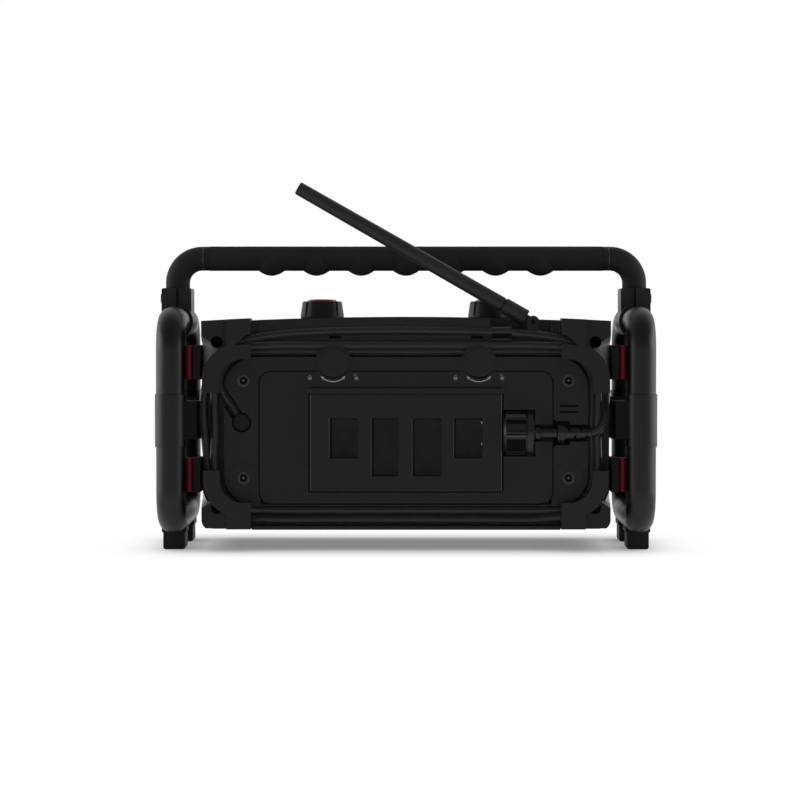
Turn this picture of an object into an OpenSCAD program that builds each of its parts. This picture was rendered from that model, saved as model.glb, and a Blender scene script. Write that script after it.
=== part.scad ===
// Stereo jobsite radio in a roll cage of two tube hoops. The back faces -Y, the loudspeakers face +Y,
// and the origin lies on the floor under the middle of the cage. All sizes are in millimetres. The modules
// measure Y from the plane of the handle, and placed() sets them down in the cage's own frame.

/* [Housing] */
// Width of the housing over its flat sides
housing_w = 357; // [356:1:358]
// Height of the housing's underside above the floor
housing_z = 18.8; // [18.6:0.1:19.4]
// Height of the housing's top above the floor, at the middle of its arch
housing_top = 205.2; // [205:0.1:205.4]
// Depth of the winding channel's floor behind the handle's plane
floor_y = 54; // [53.5:0.5:54]
// Depth of the raised island's face behind the handle's plane
island_y = 72; // [72:0.5:73]
// Depth of the front face before the handle's plane
front_y = 90; // [88:1:91]

/* [Roll cage] */
// Distance between the middle planes of the two hoops
hoop_spacing = 409.6; // [409:0.1:411]
// Outer diameter of the hoop tube
hoop_tube_d = 25.5; // [25:0.1:25.5]
// Distance between a hoop's front and rear tubes, centre to centre
hoop_depth = 167; // [166:0.5:168]
// Distance of the hoops' middle before the handle's plane
hoop_mid_y = 8.5; // [8:0.5:9]
// Height of a hoop's lower run above the floor
hoop_low_z = 27.45; // [27:0.05:28]
// Height of a hoop's upper run above the floor
hoop_high_z = 201.35; // [201:0.05:202]
// Bend radius of the hoop tube, at its centre line
hoop_bend_r = 25; // [24:1:28]

/* [Handle] */
// Diameter of the handle tube
handle_d = 21.6; // [21:0.1:22]
// Height of the handle's centre line above the floor
handle_z = 257.6; // [250:0.1:262]
// Bend radius of the handle tube, at its centre line
handle_bend_r = 22; // [21:1:24]
// Number of finger swells under the grip
finger_count = 7; // [5:1:7]
// Distance from one finger swell to the next
finger_pitch = 40.2; // [39:0.1:42]

/* [Battery cover] */
// Width of the cover
cover_w = 256.4; // [256:0.1:257]
// Height of the cover's lower edge above the floor
cover_low_z = 43.4; // [43.2:0.1:43.6]
// Height of the cover's upper edge above the floor
cover_high_z = 157.8; // [157:0.1:158]
// Distance of each latch from the middle
latch_x = 63.5; // [60:0.5:66]
// Height of the latches above the floor
latch_z = 164.8; // [164:0.1:165]
// Radius of a latch
latch_r = 13.2; // [12.8:0.1:13.2]

/* [Lead and plug] */
// Diameter of the mains lead
lead_d = 7.5; // [7:0.1:7.5]
// Height of the parked plug's axis above the floor
plug_z = 103.8; // [103:0.1:104]
// Depth of the parked plug's axis behind the handle's plane
plug_y = 70.5; // [70.5:0.1:71]

/* [Antenna] */
// Distance of the antenna's elbow from the middle
antenna_x = 111.6; // [111:0.1:112]
// Height of the antenna's elbow above the floor
antenna_z = 200.6; // [200.2:0.1:201]
// Length of the antenna from its elbow
antenna_len = 238; // [200:1:240]
// Lean of the antenna above the level
antenna_lean = 29.7; // [29:0.1:40]

/* [Knobs] */
// Distance of each knob from the middle
knob_x = 75.2; // [70:0.1:80]
// Diameter of a knob at its foot
knob_d = 39.4; // [38:0.2:39.4]

/* [Hidden] */

$fn = 64;
half_w = housing_w / 2;
arch_drop = 5.2;                   // fall of the arched top from the middle to the sides
wall = 3.2;
deck_t = 1.6;                      // thickness of the inlaid top deck
split_y = 10;                      // joint between the rear and front shells
back_wall = 8;                     // thickness of the back wall behind the winding channel
arch_r = (half_w * half_w + arch_drop * arch_drop) / (2 * arch_drop);

hoop_x = hoop_spacing / 2;
hoop_r = hoop_tube_d / 2;
hoop_y = hoop_depth / 2;

antenna_y = -(floor_y - 6.5);      // plane in which the antenna turns
whip_start = 29.5;                 // distance of the whip's foot from the elbow

knob_z = 205;                      // foot of the knobs
knob_h = 14.3;
cap_r = 13;                        // red cap, and the height of its seat in the knob
cap_seat = 13;

guard_x = 135;                     // inner end of the guards
guard_high_z = 139;                // ends of the upper and lower guards
guard_low_z = 71.5;
guard_y = 84;                      // rear face of the guards
guard_w = half_w - guard_x;
guard_rise = 1.6;                  // height of the upper guards over the arched top
flange_r = 31;                     // outer and inner corner radius of a guard's flange
flange_r_in = 20;
post_r = 17.4;                     // rounding of the corner posts
channel_r = 47.4;                  // way of the outermost strand round a corner
screw_x = 165;                     // corner screws
screw_low_z = 38.4;
screw_high_z = 183.1;
island_w = 317.4;
island_low_z = 40.2;
island_high_z = 170.1;

bay_w = 242;                       // battery bay
bay_low_z = 50;
bay_high_z = 146;
bay_floor_y = -20;
seat_y = -67;                      // ledge that the cover's seal faces
cover_t = 3;
hinge_y = -(island_y - cover_t / 2);
plate_w = 167.4;
plate_low_z = 53.2;
plate_high_z = 143;
plate_y = 78;                      // rear face of the raised plate
window_floor_y = -62;
window_from = [-66.4, -29.8, 5.8, 41.9];
window_to = [-41.9, -6.5, 30.7, 66.3];
window_low = [82.2, 66.5, 66.5, 82.2];
window_high = 116.9;

trough_r = 20.4;
neck_x = 112.6;                    // start of the narrow part of the plug's trough
neck_w = 15;                       // width and depth of that part
neck_depth = 9.5;
gland_x = -143.4;
gland_z = 112.9;
speaker_x = 112;
speaker_z = 112;
lead_r = lead_d / 2;

// Route of the mains lead: out of the gland, two and three quarter turns round the island, into the
// plug's strain relief. Each point is [x, y, z].
lead_back = -(floor_y + 3.9);      // strands that lie on the channel's floor
lead_front = lead_back - 6.1;      // strands that lie over them
lead_route = [
    [-148.1, lead_back, 120], [-154, lead_back, 129], [-159.6, lead_back, 138], [-162.6, lead_back, 147],
    [-160.5, lead_back, 155.5], [-152.5, lead_back, 166.5], [-141, lead_back, 173.3],
    [-125, lead_back, 174.4], [-60, lead_back, 174.6], [0, lead_back, 174.6], [60, lead_back, 174.6],
    [125, lead_back, 174.4], [141, lead_back, 173.3], [152.5, lead_back, 166.5],
    [160.5, lead_back, 155.5], [162.6, lead_back, 146], [162.6, lead_back, 106],
    [162.6, lead_back, 66], [160.5, lead_back, 54.8], [152.5, lead_back, 43.8],
    [141, lead_back, 37.3], [125, lead_back, 35.8], [60, lead_back, 35.4], [0, lead_back, 35.4],
    [-60, lead_back, 35.4], [-125, lead_back, 35.8], [-141, lead_back - 3, 37.3],
    [-153.2, lead_front, 43.6], [-162, lead_front, 53.3], [-167, lead_front, 68],
    [-167, lead_front, 105], [-167, lead_front, 144], [-164.8, lead_front, 156.5],
    [-156.5, lead_front, 169], [-143, lead_front, 177.8], [-125, lead_front, 179.6],
    [-60, lead_front, 180], [0, lead_front, 180.2], [60, lead_front, 180], [125, lead_front, 179.6],
    [143, lead_front, 177.8], [156.5, lead_front, 169], [164.8, lead_front, 156.5],
    [167.2, lead_front, 145], [167.2, lead_front, 106], [167.2, lead_front, 65],
    [165, lead_front, 53.5], [156.5, lead_front, 41], [143, lead_front + 0.6, 32.6],
    [125, lead_back - 4, 29], [60, lead_back - 3.8, 28], [0, lead_back - 3.8, 28],
    [-60, lead_back - 3.8, 28], [-125, lead_back - 3, 28.2], [-143, lead_back - 1, 29.3],
    [-156.8, lead_back, 39.3], [-169.3, lead_back, 50.3], [-173, lead_back, 70], [-176, lead_back, 98],
    [-177.6, lead_back, 122], [-175.8, lead_back, 144], [-171, lead_back, 157],
    [-162.5, lead_back, 171], [-149.5, lead_back, 181], [-133, lead_back, 186.3],
    [-112, lead_back, 189.6], [-70, lead_back, 192.2], [-20, lead_back, 193.2], [30, lead_back, 193],
    [80, lead_back, 191.6], [112, lead_back, 189.4], [133, lead_back, 186.2], [149.5, lead_back, 180.8],
    [162.3, lead_back, 171], [171, lead_back, 157], [174.8, lead_back, 144],
    [174.9, lead_back - 3, 130], [174.9, lead_back - 9, 121.5], [173.4, lead_back - 13, 113.8],
    [168.6, lead_back - 14.1, 107.4], [164.6, -plug_y - 1.1, 104.6], [161, -plug_y, plug_z]];

// ---------------------------------------------------------------- helpers

// Slab of a plan drawn in X and Z, from y0 to y1
module slab(y0, y1) {
    translate([0, y1, 0]) rotate([90, 0, 0]) linear_extrude(y1 - y0) children();
}

// Rectangle with round corners, given by its edges
module round_rect(x0, x1, z0, z1, r) {
    translate([x0 + r, z0]) square([x1 - x0 - 2 * r, z1 - z0]);
    translate([x0, z0 + r]) square([x1 - x0, z1 - z0 - 2 * r]);
    for (x = [x0 + r, x1 - r], z = [z0 + r, z1 - r]) translate([x, z]) circle(r);
}

// Cylinders along X and along Y, by their start and end
module rod_x(x0, x1, y, z, r) {
    translate([x0, y, z]) rotate([0, 90, 0]) cylinder(h = x1 - x0, r = r);
}
module rod_y(y0, y1, x, z, r) {
    translate([x, y0, z]) rotate([-90, 0, 0]) cylinder(h = y1 - y0, r = r);
}

// Rounded outline of the housing seen from the back, shrunk by a wall; its arch may stand higher
module outline(inset = 0, rise = 0) {
    intersection() {
        round_rect(-half_w + inset, half_w - inset, housing_z + inset, housing_top + 9 - inset, 9);
        translate([0, housing_top - arch_r]) circle(arch_r - inset + rise, $fn = 720);
    }
}

// One child on each side, mirrored
module both_sides() {
    children();
    mirror([1, 0, 0]) children();
}

// The child at all four uprights of the two hoops, drawn for a front one with the hoops' middle at y = 0
module four_uprights() {
    both_sides() translate([0, hoop_mid_y, 0]) for (m = [0, 1]) mirror([0, m, 0]) children();
}

// The modules measure Y from the handle's plane. This sets a piece down in the cage's own frame.
module placed() {
    translate([0, -hoop_mid_y, 0]) children();
}

// ---------------------------------------------------------------- roll cage

// Bent tube loop in the plane x = 0, with its middle at y = 0
module hoop_loop(r) {
    low = hoop_low_z + hoop_bend_r;
    high = hoop_high_z - hoop_bend_r;
    reach = hoop_y - hoop_bend_r;
    for (y = [-hoop_y, hoop_y]) translate([0, y, low]) cylinder(h = high - low, r = r);
    for (z = [hoop_low_z, hoop_high_z]) rod_y(-reach, reach, 0, z, r);
    for (c = [[reach, high, 0], [-reach, high, 90], [-reach, low, 180], [reach, low, 270]])
        translate([0, c[0], c[1]]) rotate([90, 0, 90])
            rotate([0, 0, c[2]]) rotate_extrude(angle = 90) translate([hoop_bend_r, 0]) circle(r, $fn = 48);
}

module hoop(side) {
    color([0.1, 0.1, 0.1]) translate([side * hoop_x, hoop_mid_y, 0]) hoop_loop(hoop_r);
}

// Thick rubber sleeve on each upright
module hoop_sleeves() {
    color([0.13, 0.13, 0.13]) four_uprights() translate([hoop_x, hoop_y, 0]) difference() {
        translate([0, 0, 91.8]) cylinder(h = 46.1, r = 13.8);
        translate([0, 0, 91]) cylinder(h = 48, r = hoop_r);
    }
}

// Arm from the housing's side to each sleeve
module side_brackets() {
    arm_y = hoop_y - 29;
    color([0.11, 0.11, 0.11]) four_uprights() difference() {
        translate([half_w, arm_y, 98.8]) cube([hoop_x - half_w, 36, 33]);
        translate([hoop_x, hoop_y, 90]) cylinder(h = 50, r = 13.8);
        translate([hoop_x - 9, arm_y - 1, 98]) cube([10, 16, 35]);
        // room for the outermost strand
        translate([half_w - 1, arm_y + 8, 98]) cube([4.6, 40, 35]);
    }
}

// Heights of the shock dampers, on the front and the rear uprights
damper_z = [[61, 163], [67.6, 165.5]];
boss_w = 6.1;

// The child at each damper, drawn for a front upright
module dampers() {
    both_sides() for (m = [0, 1], z = damper_z[m])
        translate([0, hoop_mid_y, z]) mirror([0, m, 0]) children();
}

module damper_bosses() {
    color([0.08, 0.08, 0.08]) dampers() difference() {
        translate([half_w, hoop_y - 25, -15]) cube([boss_w, 33, 30]);
        translate([half_w - 1, hoop_y - 9, 0]) rotate([0, 90, 0]) cylinder(h = 4, r = 3);
    }
}

// Pad with a rounded nose, hollowed to the tube that rests on it
module damper_pads() {
    nose_r = 3.4;
    color([0.75, 0.06, 0.12]) difference() {
        dampers() translate([half_w + boss_w, hoop_y, -14.6]) linear_extrude(29.2) {
            translate([0, -11]) square([12, 9]);
            translate([0, -2.1]) square([2 * nose_r, 2.2]);
            translate([nose_r, 0.1]) circle(nose_r);
        }
        both_sides() translate([hoop_x, hoop_mid_y, 0]) hoop_loop(hoop_r);
    }
}

// Rubber foot with a saddle for the hoop's lower run
module feet() {
    color([0.09, 0.09, 0.09]) both_sides() for (y = [-31, 54]) difference() {
        translate([hoop_x, 0, 0]) slab(y - 14.5, y + 14.5) {
            round_rect(-9.6, 9.6, 0, 22, 2.2);
            round_rect(-10.8, 10.8, 15, 22, 1);
        }
        rod_y(y - 20, y + 20, hoop_x, hoop_low_z, hoop_r);
    }
}

// ---------------------------------------------------------------- handle

core_r = 8.5;                      // tube inside the grip
grip_r = 11;

module handle_tube() {
    reach = hoop_x - handle_bend_r;
    high = handle_z - handle_bend_r;
    post_z = hoop_high_z + hoop_r + 0.1;
    color([0.12, 0.12, 0.12]) {
        both_sides() {
            translate([hoop_x, 0, post_z]) cylinder(h = high - post_z, r = handle_d / 2);
            translate([reach, 0, high]) rotate([90, 0, 0])
                rotate_extrude(angle = 90) translate([handle_bend_r, 0]) circle(handle_d / 2, $fn = 48);
            rod_x(0, reach, 0, handle_z, core_r);
            rod_x(176.2, reach, 0, handle_z, handle_d / 2);
        }
    }
}

// Barrel-shaped band, round the X axis
module swell(width, mid_r, end_r) {
    steps = 8;
    rotate([0, 90, 0]) rotate_extrude() polygon(concat([[0, -width / 2]],
        [for (i = [-steps : steps]) [mid_r - (mid_r - end_r) * pow(i / steps, 2), i / steps * width / 2]],
        [[0, width / 2]]));
}

// Soft grip with swells between the fingers
module handle_grip() {
    grip_end = 176;
    color([0.14, 0.14, 0.14]) difference() {
        union() {
            rod_x(-grip_end, grip_end, 0, handle_z, grip_r);
            for (i = [0 : finger_count - 1])
                translate([(i - (finger_count - 1) / 2) * finger_pitch, 0, handle_z - 3.2]) swell(23, 12.2, 7.9);
        }
        rod_x(-grip_end - 1, grip_end + 1, 0, handle_z, core_r);
    }
}

// Socket block and clamp collar on each hoop's upper run
module handle_sockets() {
    color([0.1, 0.1, 0.1]) both_sides() difference() {
        union() {
            translate([hoop_x, 0, 0]) slab(-17, 17) round_rect(-13.3, 13.3, hoop_high_z, 231, 2);
            rod_y(-22, 22, hoop_x, hoop_high_z, hoop_r + 2.6);
        }
        rod_y(-30, 30, hoop_x, hoop_high_z, hoop_r);
        translate([hoop_x, 0, hoop_high_z + hoop_r]) cylinder(h = 40, r = handle_d / 2);
        rod_x(hoop_x + 8, hoop_x + 20, 0, 222, 2);
    }
}

module socket_screws() {
    color([0.3, 0.3, 0.3]) both_sides() difference() {
        union() {
            rod_x(hoop_x + handle_d / 2, hoop_x + 14, 0, 222, 2);
            rod_x(hoop_x + 13.3, hoop_x + 15.3, 0, 222, 4.2);
        }
        rod_x(hoop_x + 14.2, hoop_x + 16, 0, 222, 1.6);
    }
}

// ---------------------------------------------------------------- housing

module island() {
    round_rect(-island_w / 2, island_w / 2, island_low_z, island_high_z, 28);
}

// Slot along which the lead leaves the gland and reaches the channel
module lead_slot() {
    out = lead_route[1] - lead_route[0];
    half = lead_r + 1.4;
    slab(-island_y - 1, -floor_y) translate([gland_x, gland_z]) rotate(-atan2(out[0], out[2]))
        translate([-half, 0]) square([2 * half, 36]);
    slab(-island_y - 1, -floor_y) translate([gland_x, gland_z]) circle(8.6);
}

module bay_space() {
    slab(-island_y - 1, bay_floor_y)
        round_rect(-bay_w / 2, bay_w / 2, bay_low_z, bay_high_z, 3);
}

module rear_shell() {
    color([0.12, 0.12, 0.12]) difference() {
        union() {
            difference() {
                slab(-floor_y, split_y) outline();
                slab(-floor_y + back_wall, split_y + 1) outline(wall);
            }
            slab(-island_y, -floor_y) island();
            // lip under the lower strands
            slab(-66, -floor_y + 1) translate([-guard_x, housing_z]) square([2 * guard_x, 3.3]);
            both_sides() rod_y(-island_y, -68.4, latch_x, latch_z, latch_r + 2.6);
            for (x = [-141.7, 141.7], z = [64.5, 149.6]) rod_y(-island_y - 0.8, -island_y, x, z, 13);
            // tub of the battery bay
            slab(-floor_y + 1, bay_floor_y + 3)
                round_rect(-bay_w / 2 - 3, bay_w / 2 + 10, bay_low_z - 3, bay_high_z + 3, 4);
            // walls of the antenna's trough
            slab(-floor_y, -37) intersection() {
                outline();
                translate([71, 183]) square([60, 30]);
            }
        }
        bay_space();
        // seat of the cover
        slab(-island_y - 1, seat_y)
            round_rect(-cover_w / 2 - 0.4, cover_w / 2 + 0.4, cover_low_z - 1.9, cover_high_z + 0.4, 10.9);
        both_sides() {
            rod_y(-island_y - 1, -70.8, latch_x, latch_z, latch_r + 0.6);
            rod_y(-72, -40, latch_x, latch_z, 3.55);
        }
        // room for the parked plug, its neck and its strain relief
        rod_x(82, neck_x + 4, -plug_y, plug_z, trough_r + 4);
        translate([neck_x, -island_y - 1, plug_z - neck_w / 2 - 4]) cube([18, 17, neck_w + 8]);
        rod_x(130, 143, -plug_y, plug_z, 10.6);
        rod_x(142, 160, -plug_y, plug_z, 7.6);
        // sockets of the hinge pins, and room for the cover's edge to turn
        rod_x(-140, 140, hinge_y, cover_low_z, 1);
        rod_x(-127, 127, hinge_y, cover_low_z, 2.6);
        lead_slot();
        // bosses of the corner screws and cover screws
        both_sides() for (z = [screw_low_z, screw_high_z]) rod_y(-island_y, -floor_y + 6, screw_x, z, 1.6);
        for (x = [-141.7, 141.7], z = [64.5, 149.6]) {
            rod_y(-island_y - 2, -island_y + 3, x, z, 4.9);
            rod_y(-island_y - 2, -floor_y + 4, x, z, 1.8);
        }
        // vents and moulded slots
        for (x = [-67.8, 57.4]) translate([x, -floor_y - 1, 186.6]) cube([10.4, 5, 1.8]);
        for (z = [121.3, 126.9]) translate([133.4, -island_y - 1, z]) cube([16.6, 3, 1.8]);
        // grooves beside the top deck, and its middle line
        both_sides() translate([129.2, -floor_y - 1, 182]) cube([5.1, 7, 30]);
        translate([-0.3, -floor_y - 1, 196]) cube([0.6, 1.8, 12]);
        antenna_trough();
        deck_space();
        knob_holes();
    }
}

// Trough in which the antenna's elbow turns
module antenna_trough() {
    translate([74, -floor_y - 1, 186]) cube([53, 15, 30]);
}

module deck_plan(gap = 0) {
    translate([-124 - gap, -38 - gap]) square([248 + 2 * gap, 92 + 2 * gap]);
}

// Space for the inlaid top deck, which follows the arch
module deck_space() {
    difference() {
        translate([0, 0, 150]) linear_extrude(80) deck_plan();
        slab(-60, 80) translate([0, housing_top - arch_r]) circle(arch_r - deck_t, $fn = 720);
    }
}

module top_deck() {
    color([0.13, 0.13, 0.13]) difference() {
        intersection() {
            translate([0, 0, 150]) linear_extrude(80) deck_plan();
            slab(-60, 80) difference() {
                translate([0, housing_top - arch_r]) circle(arch_r, $fn = 720);
                translate([0, housing_top - arch_r]) circle(arch_r - deck_t, $fn = 720);
            }
        }
        knob_holes();
    }
}

module knob_holes() {
    both_sides() translate([knob_x, 0, 180]) cylinder(h = 40, r = 5);
}

module front_shell() {
    edge_r = 8;
    color([0.12, 0.12, 0.12]) difference() {
        union() {
            difference() {
                slab(split_y, front_y) outline();
                slab(split_y - 1, front_y - 4) outline(wall);
                // rounding of the upright front edges, which runs out a little short of a tangent
                both_sides() translate([half_w - edge_r, front_y - edge_r, 0])
                    linear_extrude(housing_top + 1) difference() {
                        square(edge_r + 1);
                        circle(edge_r + 0.2);
                    }
            }
            // raised rims round the loudspeakers
            both_sides() rod_y(front_y - 3, front_y + 5, speaker_x, speaker_z, 64);
            // centre console
            slab(front_y - 1, front_y + 3) round_rect(-44, 44, 34, 190, 8);
        }
        both_sides() {
            rod_y(front_y - 10, front_y + 2, speaker_x, speaker_z, 55);
            rod_y(front_y + 2, front_y + 6, speaker_x, speaker_z, 60);
        }
        slab(front_y, front_y + 4) round_rect(-36, 36, 128, 176, 4);
        slab(front_y - 8, front_y + 4) round_rect(-31, 31, 133, 171, 3);
        for (i = [0 : 4]) slab(front_y - 8, front_y + 4) button_plan(i, 0.3);
        deck_space();
        knob_holes();
    }
}

// Quadrant plan, u wide and v high, with its outer corner rounded
module corner_plan(u, v, r) {
    square([u - r, v]);
    square([u, v - r]);
    intersection() {
        square([u, v]);
        translate([u - r, v - r]) circle(r);
    }
}

// Way under the guard that the strands take round the corner
module strand_way(mouth) {
    circle(channel_r);
    if (mouth) polygon([[-1, 30], [-1, 51.2], [13, 48], [24, 40], [24, 30]]);
}

// Corner post: its upright edge is rounded, and flares to a square cap from cap_v upwards
module post_limit(v_end, cap_v) {
    slab(-guard_y, -floor_y) square([guard_w - post_r, v_end]);
    translate([guard_w - post_r, -island_y + post_r, 0]) rotate_extrude() polygon([[0, -1], [post_r, -1],
        [post_r, cap_v - 6], [post_r + 1.6, cap_v - 3], [post_r + 8, cap_v + 3], [post_r + 8, v_end], [0, v_end]]);
}

// Guard on one corner, with its inner end at the origin. The flange's edge lies at u_out and v_out, its
// inner edge at v_in, and the screw's hole is hole_depth deep.
module guard(v_end, u_out, v_out, v_in, cap_v, hole_v, hole_depth, mouth) {
    u_in = 26.7;
    block_w = 21;
    rim = 1.6;
    difference() {
        union() {
            slab(-guard_y, -guard_y + 3) difference() {
                union() {
                    corner_plan(u_out, v_out, flange_r);
                    square([block_w, v_end]);
                }
                translate([-1, -1]) corner_plan(u_in + 1, v_in + 1, flange_r_in);
            }
            slab(-guard_y, -70) difference() {
                corner_plan(u_out, v_out, flange_r);
                translate([-1, -1]) corner_plan(u_out - rim + 1, v_out - rim + 1, flange_r - rim);
            }
            slab(-guard_y, -floor_y) difference() {
                square([block_w, v_end]);
                strand_way(mouth);
            }
            intersection() {
                post_limit(v_end, cap_v);
                union() {
                    slab(-island_y, -69.5) difference() {
                        square([guard_w, v_end]);
                        corner_plan(u_out - rim, v_out - rim, flange_r - rim);
                    }
                    slab(-island_y, -floor_y) difference() {
                        square([guard_w, v_end]);
                        strand_way(mouth);
                    }
                }
            }
        }
        // the strand is in view where it dives under the flange
        if (mouth) slab(-guard_y - 1, -69) polygon([[-1, 42.5], [-1, 51.2], [4, 50.2], [14, 41.5]]);
        rod_y(-guard_y + 3, -island_y + hole_depth, screw_x - guard_x, hole_v, 5.3);
        rod_y(-guard_y + 3, -50, screw_x - guard_x, hole_v, 2);
    }
}

hole_deep = 14;                    // depth of the upper and lower screw holes below the island's face
hole_shallow = 8;

module corner_guards() {
    color([0.11, 0.11, 0.11]) intersection() {
        slab(-guard_y - 1, 0) outline(0, guard_rise);
        both_sides() {
            translate([guard_x, 0, guard_high_z])
                guard(67, 42, 42.5, 29.2, 47, screw_high_z - guard_high_z, hole_deep, true);
            translate([guard_x, 0, guard_low_z]) mirror([0, 0, 1])
                guard(51, 41, 40, 27.9, 31, guard_low_z - screw_low_z, hole_shallow, false);
        }
    }
}

// Screw with its head's face at y0
module corner_screw(y0, z) {
    difference() {
        union() {
            rod_y(y0, y0 + 3, screw_x, z, 4.4);
            rod_y(y0 + 3, -floor_y + 5, screw_x, z, 1.6);
        }
        rod_y(y0 - 1, y0 + 1.6, screw_x, z, 1.7);
    }
}

module corner_screws() {
    color([0.4, 0.4, 0.4]) both_sides() {
        corner_screw(-island_y + hole_deep - 3, screw_high_z);
        corner_screw(-island_y + hole_shallow - 3, screw_low_z);
    }
}

module cover_screws() {
    color([0.4, 0.4, 0.4]) for (x = [-141.7, 141.7], z = [64.5, 149.6]) difference() {
        union() {
            rod_y(-island_y - 0.4, -island_y + 3, x, z, 4.8);
            rod_y(-island_y + 3, -floor_y + 3, x, z, 1.8);
        }
        rod_y(-island_y - 1, -island_y + 1.4, x, z, 2.3);
    }
}

// ---------------------------------------------------------------- battery cover

// Window in the raised plate, or the outline of the pocket behind it
module window_plan(i, rim = 0) {
    from = window_from[i] - rim;
    low = window_low[i] - rim;
    translate([from, low]) square([window_to[i] + rim - from, window_high + rim - low]);
}

module battery_cover() {
    color([0.12, 0.12, 0.12]) difference() {
        union() {
            slab(-island_y, -island_y + cover_t) difference() {
                round_rect(-cover_w / 2, cover_w / 2, cover_low_z - 1.5, cover_high_z, 10.5);
                translate([-cover_w, cover_low_z - 10]) square([2 * cover_w, 10]);
                for (x = [-latch_x, latch_x]) translate([x, latch_z]) circle(latch_r + 0.6);
            }
            rod_x(-cover_w / 2 + 10.5, cover_w / 2 - 10.5, hinge_y, cover_low_z, cover_t / 2);
            // pockets behind the four windows
            for (i = [0 : 3]) slab(-island_y + 1, window_floor_y + 2) window_plan(i, 2);
            // trough that holds the parked plug, and the block that takes its pins
            intersection() {
                rod_x(82, neck_x + 2.4, -plug_y, plug_z, trough_r + 2);
                translate([80, -island_y, 60]) cube([60, 40, 90]);
            }
            translate([neck_x, -island_y, plug_z - neck_w / 2 - 2.2])
                cube([cover_w / 2 - neck_x, neck_depth + 2.2, neck_w + 4.4]);
            translate([66, -island_y + 1, plug_z - 14]) cube([17, 8.5, 28]);
        }
        for (i = [0 : 3]) slab(-island_y - 1, window_floor_y) window_plan(i);
        rod_x(84.6, neck_x, -plug_y, plug_z, trough_r);
        translate([neck_x - 1, -island_y - 1, plug_z - neck_w / 2]) cube([40, neck_depth + 1, neck_w]);
        for (z = [-9.5, 9.5]) rod_x(65, 86, -plug_y + 2.4, plug_z + z, 2.7);
        for (x = [-cover_w / 2 - 1, cover_w / 2 - 24]) rod_x(x, x + 25, hinge_y, cover_low_z, 1.05);
    }
}

module cover_plate() {
    color([0.13, 0.13, 0.13]) difference() {
        union() {
            slab(-plate_y, -island_y) round_rect(-plate_w / 2, plate_w / 2, plate_low_z, 140, 1.2);
            slab(-plate_y, -island_y) round_rect(-85.5, 85.5, 138.4, plate_high_z, 1);
        }
        for (i = [0 : 3]) slab(-plate_y - 1, -island_y + 1) window_plan(i);
        translate([-90, -plate_y - 1, 137.6]) cube([180, 1.8, 0.8]);
    }
}

module cover_seal() {
    color([0.25, 0.25, 0.25]) slab(-island_y + cover_t, seat_y - 0.3) difference() {
        round_rect(-126, 126, 45.6, 152, 8);
        round_rect(-122.5, 122.5, 49, 148.5, 5);
        translate([80, plug_z - 24.6]) square([40, 49.2]);
        translate([80, plug_z - 11]) square([60, 22]);
        for (x = [-latch_x, latch_x]) translate([x, latch_z]) circle(latch_r + 2);
    }
}

module cover_hinge_pins() {
    color([0.7, 0.7, 0.7]) for (x = [-138, 122]) rod_x(x, x + 16, hinge_y, cover_low_z, 1);
}

// Quarter-turn latch: a disc with a finger pocket, on a spindle that a collar keeps in the wall
module latch(side) {
    inside = -floor_y + back_wall;
    color([0.12, 0.12, 0.12]) difference() {
        union() {
            rod_y(-island_y - 2.6, -71, side * latch_x, latch_z, latch_r);
            rod_y(-72, inside + 2, side * latch_x, latch_z, 3.5);
            rod_y(inside + 0.1, inside + 3, side * latch_x, latch_z, 7);
        }
        intersection() {
            rod_y(-island_y - 4, -island_y - 1.3, side * latch_x, latch_z, latch_r - 0.9);
            rod_y(-island_y - 4, -island_y - 1.3, side * latch_x, latch_z - 19.6, 10);
        }
    }
}

// ---------------------------------------------------------------- lead and plug

module lead_gland() {
    exit = lead_route[0];
    out = lead_route[1] - lead_route[0];
    color([0.1, 0.1, 0.1]) {
        rod_y(-68.4, -floor_y, gland_x, gland_z, 7.8);
        rod_y(-69.4, -68.4, gland_x, gland_z, 6.6);
        translate(exit) rotate([0, atan2(out[0], out[2]), 0]) mirror([0, 0, 1]) cylinder(h = 8.4, r = lead_r + 0.1);
    }
}

// Tube swept along the lead's route
function unit(v) = v / norm(v);
function lead_dir(i) = i == len(lead_route) - 1 ? [-1, 0, 0]
    : unit(lead_route[i + 1] - lead_route[max(i - 1, 0)]);
function lead_side(i) = unit(cross(lead_dir(i), [0, 1, 0]));
function lead_up(i) = cross(lead_side(i), lead_dir(i));

module power_lead() {
    n = len(lead_route);
    sides = 8;
    points = [for (i = [0 : n - 1], k = [0 : sides - 1])
        lead_route[i] + lead_r * (cos(k * 45) * lead_side(i) + sin(k * 45) * lead_up(i))];
    skin = [for (i = [0 : n - 2], k = [0 : sides - 1])
        let (a = i * sides + k, b = i * sides + (k + 1) % sides) [a, b, b + sides, a + sides]];
    first = [[for (k = [sides - 1 : -1 : 0]) k]];
    last = [[for (k = [0 : sides - 1]) (n - 1) * sides + k]];
    color([0.07, 0.07, 0.07]) polyhedron(points, concat(skin, first, last), convexity = 8);
}

// Plug turned about its own axis, with flutes in its body
module plug_body() {
    profile = [[0, 0], [17.6, 0], [19.5, 2], [19.5, 19.6], [18, 19.6], [18, 20.7], [20, 20.7], [20.3, 22],
               [20.3, 25.6], [18.6, 27], [7.4, 27.6], [6.4, 28.6], [6.4, 32.4], [4.9, 33.1], [4.9, 46.6],
               [9, 47.4], [9, 53.4], [0, 53.4]];
    color([0.1, 0.1, 0.1]) difference() {
        translate([84.6, -plug_y, plug_z]) rotate([0, 90, 0]) rotate_extrude() polygon(profile);
        for (a = [20 : 40 : 340]) translate([84, -plug_y, plug_z]) rotate([a, 0, 0])
            translate([2.4, -0.9, 18.9]) cube([17, 1.8, 2]);
    }
}

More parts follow.
